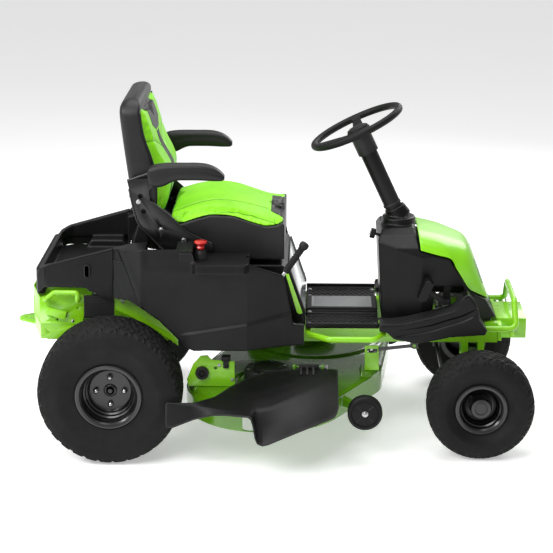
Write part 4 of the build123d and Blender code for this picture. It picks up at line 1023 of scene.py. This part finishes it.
def chute():
    columns = [tuple(([s[0] for s in CHUTE], [s[k][a] for s in CHUTE]) for a in (0, 1)) for k in (1, 2, 3)]
    xs = list(np.linspace(204, 488, 36)) + list(np.linspace(491, 544, 22)) + list(np.linspace(550, 800, 34))
    verts = []
    for x in xs:
        end = 1 - 0.10 * max(0.0, (x - 784) / 16) ** 2
        crease = 3.2 * ease(x, 430, 470) * (1 - ease(x, 630, 660))
        for share in np.linspace(0, 1, 25):
            px, py, pz = chute_point(x, share * end, columns)
            verts.append((px, py, pz + crease * (bump_at(share, 0.25, 0.02) + bump_at(share, 0.36, 0.02))))
    skin = shell_of(verts, grid_faces(len(xs), 25), 4.0)
    obj = tidy_normals(place("chute_skin", *skin, *CHUTE_TRIM, ("discharge_chute",), 45))
    melt(obj, 2)
    smooth(applied(obj), 50)
    edge = [(x, *chute_point(x, 1.0, columns)[1:]) for x in xs[2:-2]]
    tail = [(205.5, -556, 242), (205, -561, 202), (206, -566, 162)]
    lips = join([tube_through([(x, y + 1.5, z + 1) for x, y, z in edge], 3.2, 10), tube_through(tail, 3.2, 10)])
    tidy_normals(place("chute_lip", *lips, *CHUTE_TRIM, (), 60))
    y, z = -330, 305
    bar = [box_mesh(660, 732, y - 10, y + 7, z - 6, z + 8)]
    for x in (664, 686, 708):
        bar.append(([(x + dx, y + dy, z + dz) for dx in (0, 9) for dy, dz in ((-6, 8), (-56, -10), (-6, -12))],
                    [(0, 1, 2), (5, 4, 3), (0, 3, 4, 1), (1, 4, 5, 2), (2, 5, 3, 0)]))
    ease_edges(tidy_normals(place("chute_hinge_block", *join(bar), *CHUTE_TRIM)), 2.0)
    spring = [(738 + 2.2 * k / 8, y + 7.5 * cos(2 * pi * k / 16), z + 7.5 * sin(2 * pi * k / 16)) for k in range(0, 90)]
    spring += [(752, y - 30, z - 22), (754, y - 46, z - 30)]
    place("chute_spring", *tube_through(spring, 1.1, 8), *DECK_BOLTS)


def deck_style(q, n):
    """Volutes: the roof winds up round each motor and drops in a step."""
    if q.z < 212:
        return q
    lift = 0.0
    for (cx, cy), start in (((545, -265), -0.35), ((715, 265), 0.35)):
        dx, dy = q.x - cx, q.y - cy
        r = sqrt(dx * dx + dy * dy)
        if r < 292:
            turn = ((atan2(dy, dx) / (2 * pi) - start) % 1.0)
            ramp = ease(turn, 0.04, 0.9) if turn > 0.04 else 1 - turn / 0.04
            seat_ring = 1 - ease(r, 92, 112)
            lift = max(lift, seat_ring, ramp * ease(r, 92, 120) * (1 - ease(r, 214 + 46 * turn, 236 + 46 * turn)))
    if abs(q.x - 366) < 80 and -365 < q.y < -310 or abs(q.x - 926) < 40 and abs(q.y + 130) < 50:
        lift = 1.0
    if abs(q.x - 556) < 80 and 235 < q.y < 295 or 630 < q.x < 760 and -350 < q.y < -300:
        lift = 1.0
    depth = 20.0 * ease(q.z, 212, 232)
    return Vector((q.x, q.y, q.z - depth * (1 - lift)))


def deck():
    obj = rounded("deck_shell", DECK_GREEN_SHADED, "deck", "deck_green", 3.4, 5)
    warp(obj, deck_style)
    melt(obj, 2)
    smooth(applied(obj), 60)
    bevelled("deck_brackets", GREEN_FRAME, "deck", "frame_green", 1.0)
    roller = turned_between((317, -352, 289), (317, -372, 289), [(0, 21), (2, 24), (12, 24), (15, 21), (15, 13),
                                                                 (11, 11), (11, 6), (16, 6), (17, 4)], 36)
    tidy_normals(place("deck_rear_roller", *roller, *DECK_TRIM))
    marks = join([bolt((378, -352, 316), (0, -1, 0), 5, 4), bolt((424, -352, 262), (0, -1, 0), 5, 4)])
    place("deck_bracket_bolts", *marks, *DECK_BOLTS)
    clamp = join([box_mesh(386, 418, -358, -330, 332, 350), box_mesh(392, 412, -360, -352, 306, 334)])
    ease_edges(tidy_normals(place("deck_clamp", *clamp, *DECK_TRIM)), 3)
    for k, (x, y) in enumerate(((545, -265), (715, 265))):
        bolts = [bolt((x + 68.8 * cos(a), y + 68.8 * sin(a), 278), (0, 0, 1), 5, 4)
                 for a in [2 * pi * j / 6 + 0.3 for j in range(6)]]
        place(f"motor_bolts_{k}", *join(bolts), *DECK_BOLTS)
        cap = turned_between((x, y, 278.6), (x, y, 290), [(0, 52), (3, 52), (6, 49), (6, 40), (5, 36), (5, 0.5)], 48)
        place(f"motor_cap_{k}", *cap, *DECK_TRIM)


def gauge_wheels():
    for name, (x, y, z), side in (("right", (893, -480, 190), -1), ("left", (1012, 466, 190), 1)):
        profile = [(52, -20), (58, -18.5), (61, -14), (61, 14), (58, 18.5), (55, 20), (49, 20), (46.5, 17),
                   (44, 18.2), (14, 19), (13, 16), (7, 16), (7, -16), (6.6, -20)]
        v, f = lathe(profile, (x, y, z), side, 72)
        tidy_normals(place(f"gauge_{name}_tyre", v, f, GAUGE, f"gauge_wheel_{name}", "gauge_rubber",
                           (f"gauge_wheel_{name}",), 30))
        ribs = []
        for k in range(4):
            a = radians(45 + 90 * k)
            ribs.append(disc_bar((x + 15 * cos(a), y + side * 18.2, z + 15 * sin(a)),
                                 (x + 42 * cos(a), y + side * 17.6, z + 42 * sin(a)), 1.6, 10))
        place(f"gauge_{name}_ribs", *join(ribs), BLACK_PLASTIC, f"gauge_wheel_{name}", "gauge_rubber")
        nut = turned_between((x, y + side * 16, z), (x, y + side * 30, z), [(0, 11), (3, 11), (4, 8.5), (11, 8.5),
                                                                         (13, 6), (13, 0.5)], 30)
        place(f"gauge_{name}_bolt", *nut, STEEL, f"gauge_wheel_{name}", "bare_steel")


# ---------------------------------------------------------------- controls
def lever():
    low, grip, top = Vector((505, -305, 489)), Vector((611, -305, 648)), Vector((676, -305, 744))
    rod = turned_between(low, grip, [(4, 6.5), (192, 6.5), (194, 6)], 24)
    place("lever_rod", *rod, STEEL, "lift_lever", "bare_steel", ("lift_lever",))
    profile = [(0, 8), (1, 12), (6, 12.6)]
    for k in range(9):
        profile += [(12 + 10 * k, 12.6), (13.5 + 10 * k, 11.4), (16.5 + 10 * k, 11.4), (18 + 10 * k, 12.6)]
    profile += [(104, 12.6), (108, 15.5), (114, 17), (122, 17), (127, 14), (129, 9), (129.6, 1)]
    place("lever_grip", *turned_between(grip, top, profile, 36), GRIP, "lift_lever", "soft_black")
    hub = turned_between((505, -315, 489), (505, -295, 489), [(0, 13), (1.5, 17), (18, 17), (20, 14)], 32)
    place("lever_hub", *hub, BLACK_PAINT, "lift_lever", "black_steel")


def pull_knob():
    x, y, z = 316, -330, 731
    shape = [(-36, 7.5), (6, 7.5), (8, 13), (13, 14.5), (18, 12), (22, 14), (27, 21), (31, 23), (35, 21.5), (37, 15),
             (37.5, 0.5)]
    place("pto_knob_body", *turned_between((x, y, z), (x, y, z + 1), shape, 40), RED, "pto_knob", "red_knob",
          ("pto_knob",))
    collar = turned_between((x, y, z - 26), (x, y, z + 4), [(0, 9.3), (0, 24), (16, 22), (28, 17), (30, 14), (30, 9.3)],
                            36)
    place("pto_collar", *collar, *BLACK_TRIM)


def pedals():
    for node in ("drive_pedal", "brake_pedal"):
        rounded(node, BLACK_PLASTIC, node, "soft_black", 1.6, 3)


def wheel_details():
    for name, side in SIDES:
        nuts = []
        for k in range(4):
            a = radians(90 * k)
            x, z = 50 * cos(a), REAR["radius"] + 50 * sin(a)
            base, tip = ((x, side * (REAR_TRACK + out), z) for out in (13.2, 33))
            nuts.append(turned_between(base, tip, [(0, 11), (1.5, 11.5), (3, 10), (14, 10), (17, 7), (19.6, 3),
                                                   (19.8, 0.4)], 6))
        place(f"rear_nuts_{name}", *join(nuts), DARK_CHROME, f"rear_wheel_{name}", "bare_steel",
              (f"rear_lug_nuts_{name}",))
        hub = turned_between(*((0, side * (REAR_TRACK + out), REAR["radius"]) for out in (6, 26)),
                             [(0, 21.5), (12, 21.5), (14, 19), (14, 9), (18, 8), (19, 0.5)], 40)
        place(f"rear_hub_{name}", *hub, BLACK_PAINT, f"rear_wheel_{name}", "black_steel")


def steering():
    rounded("steering_wheel", GRIP, "steering_wheel", "soft_black", 2.2, 4)
    hub = WHEEL_HUB - COLUMN_AXIS * 5
    place("wheel_cap", *turned_between(hub, hub + COLUMN_AXIS, [(0, 34), (2, 34), (4, 31), (4.6, 0.6)], 40),
          BLACK_PLASTIC, "steering_wheel", "soft_black")


def frame_steel():
    for node in ("rear_frame_box", "tow_hitch", "front_bumper"):
        bevelled(node, *GREEN_STEEL, 1.4)
    heads = [bolt((x, -271, z), (0, -1, 0), 4.5, 3) for x, z in ((-150, 452), (-140, 395), (30, 526), (150, 486))]
    tab = ([(x, y, z) for y in (-272, -290) for x, z in ((-238, 508), (-168, 490), (-176, 460), (-246, 482))],
           BLOCK_FACES)
    for name, side in SIDES:
        sided(f"frame_rivets_{name}", join(heads), side, *CHASSIS_BOLTS)
        ease_edges(sided(f"rear_tab_{name}", tab, side, *GREEN_STEEL), 3)
    # black slatted screen on a solid black backing above the rear tyre; its black also stands as painted shade for the
    # dark opening there
    slats = [box_mesh(-108, 0, -273, -270.4, 466, 548)]
    slats += [box_mesh(-106 + 9 * k, -101.5 + 9 * k, -275, -273, 468, 546) for k in range(12)]
    slats += [box_mesh(-107, -1, -276, -274.4, 470 + 9 * k, 474 + 9 * k) for k in range(9)]
    for name, side in SIDES:
        sided(f"arch_screen_and_shade_{name}", join(slats), side, *BLACK_TRIM)
    ears = [bolt((1443, y, 402), (1, 0, 0), 7, 5) for y in (-180, 180)]
    place("bumper_bolts", *join(ears), *CHASSIS_BOLTS)


# ---------------------------------------------------------------- floor, lights, camera
def camera_and_stage():
    floor = new_object("floor", bpy.data.meshes.new("floor"))
    bm = bmesh.new()
    bmesh.ops.create_grid(bm, x_segments=1, y_segments=1, size=30)
    bm.to_mesh(floor.data)
    bm.free()
    floor.location.z = -0.0005
    look = Look("floor_pale")
    look.colour(look.ramp(look.noise(3, 2), (0.9, 0.9, 0.9, 1), (0.905, 0.905, 0.905, 1)))
    look.set(Roughness=0.55, Specular_IOR_Level=0.2, Emission_Color=(1, 1, 1, 1), Emission_Strength=0.4)
    floor.data.materials.append(look.material)
    world = bpy.data.worlds.new("studio")
    world.use_nodes = True
    world.node_tree.nodes["Background"].inputs["Color"].default_value = (1, 1, 1, 1)
    world.node_tree.nodes["Background"].inputs["Strength"].default_value = 0.38
    SCENE.world = world
    target = ORIGIN + Vector((0.55, 0, 0.6))
    for name, spot, size, power in (("key", (-1.2, -3.2, 3.6), 2.6, 125), ("top", (0.6, 0.2, 4.4), 3.4, 120),
                                    ("rim", (2.6, 3.4, 2.6), 2.4, 60), ("fill", (-3.2, -1.4, 2.9), 1.5, 95)):
        lamp = bpy.data.lights.new(name, "AREA")
        lamp.shape, lamp.size, lamp.energy = "DISK", size, power
        obj = bpy.data.objects.new(name, lamp)
        SCENE.collection.objects.link(obj)
        obj.location = ORIGIN + Vector(spot)
        obj.rotation_euler = (target - obj.location).to_track_quat("-Z", "Y").to_euler()
    eye = bpy.data.cameras.new("eye")
    eye.sensor_width, eye.lens, eye.clip_end = 36, 112.2, 100
    obj = bpy.data.objects.new("eye", eye)
    SCENE.collection.objects.link(obj)
    obj.location = ORIGIN + EYE_PLACE * MM
    yaw, pitch = EYE_YAW, EYE_PITCH
    ahead = Vector((-sin(yaw) * cos(pitch), cos(yaw) * cos(pitch), -sin(pitch)))
    obj.rotation_euler = ahead.to_track_quat("-Z", "Y").to_euler()
    SCENE.camera = obj
    SCENE.view_settings.view_transform = "Standard"


# ---------------------------------------------------------------- carried-over nodes
def carried_over():
    """Looks for the CAD nodes that are shown as they are."""
    looks = {
        GREEN_FRAME: ("main_frame", "side_steps", "tie_down_handles"),
        BLACK_PLASTIC: ("steering_column", "battery_packs"),
        BLACK_PAINT: ("seat_slide_plate", "axle_beam", "tie_rod", "drag_link", "deck_front_link", "spindle_left",
                      "spindle_right"),
        STEEL: ("steering_shaft", "sector_gear", "rear_axle_left", "rear_axle_right", "blade_left", "blade_right"),
        CAST: ("transaxle", "blade_motors"),
        LENS: ("headlamps",),
    }
    for look, names in looks.items():
        for name in names:
            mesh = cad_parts[name].data
            mesh.materials.clear()
            mesh.materials.append(look)


carried_over()
camera_and_stage()
seat_cushion()
seat_back()
seat_shell()
armrests()
seat_hardware()
hood_cover()
treads()
footrests()
tower()
dash_star()
side_panels()
pedestal()
chute()
deck()
gauge_wheels()
lever()
pull_knob()
pedals()
steering()
frame_steel()
tyres()
rims()
wheel_details()
rounded("seat_pan", *SEAT_TRIM, 3.2, 6)
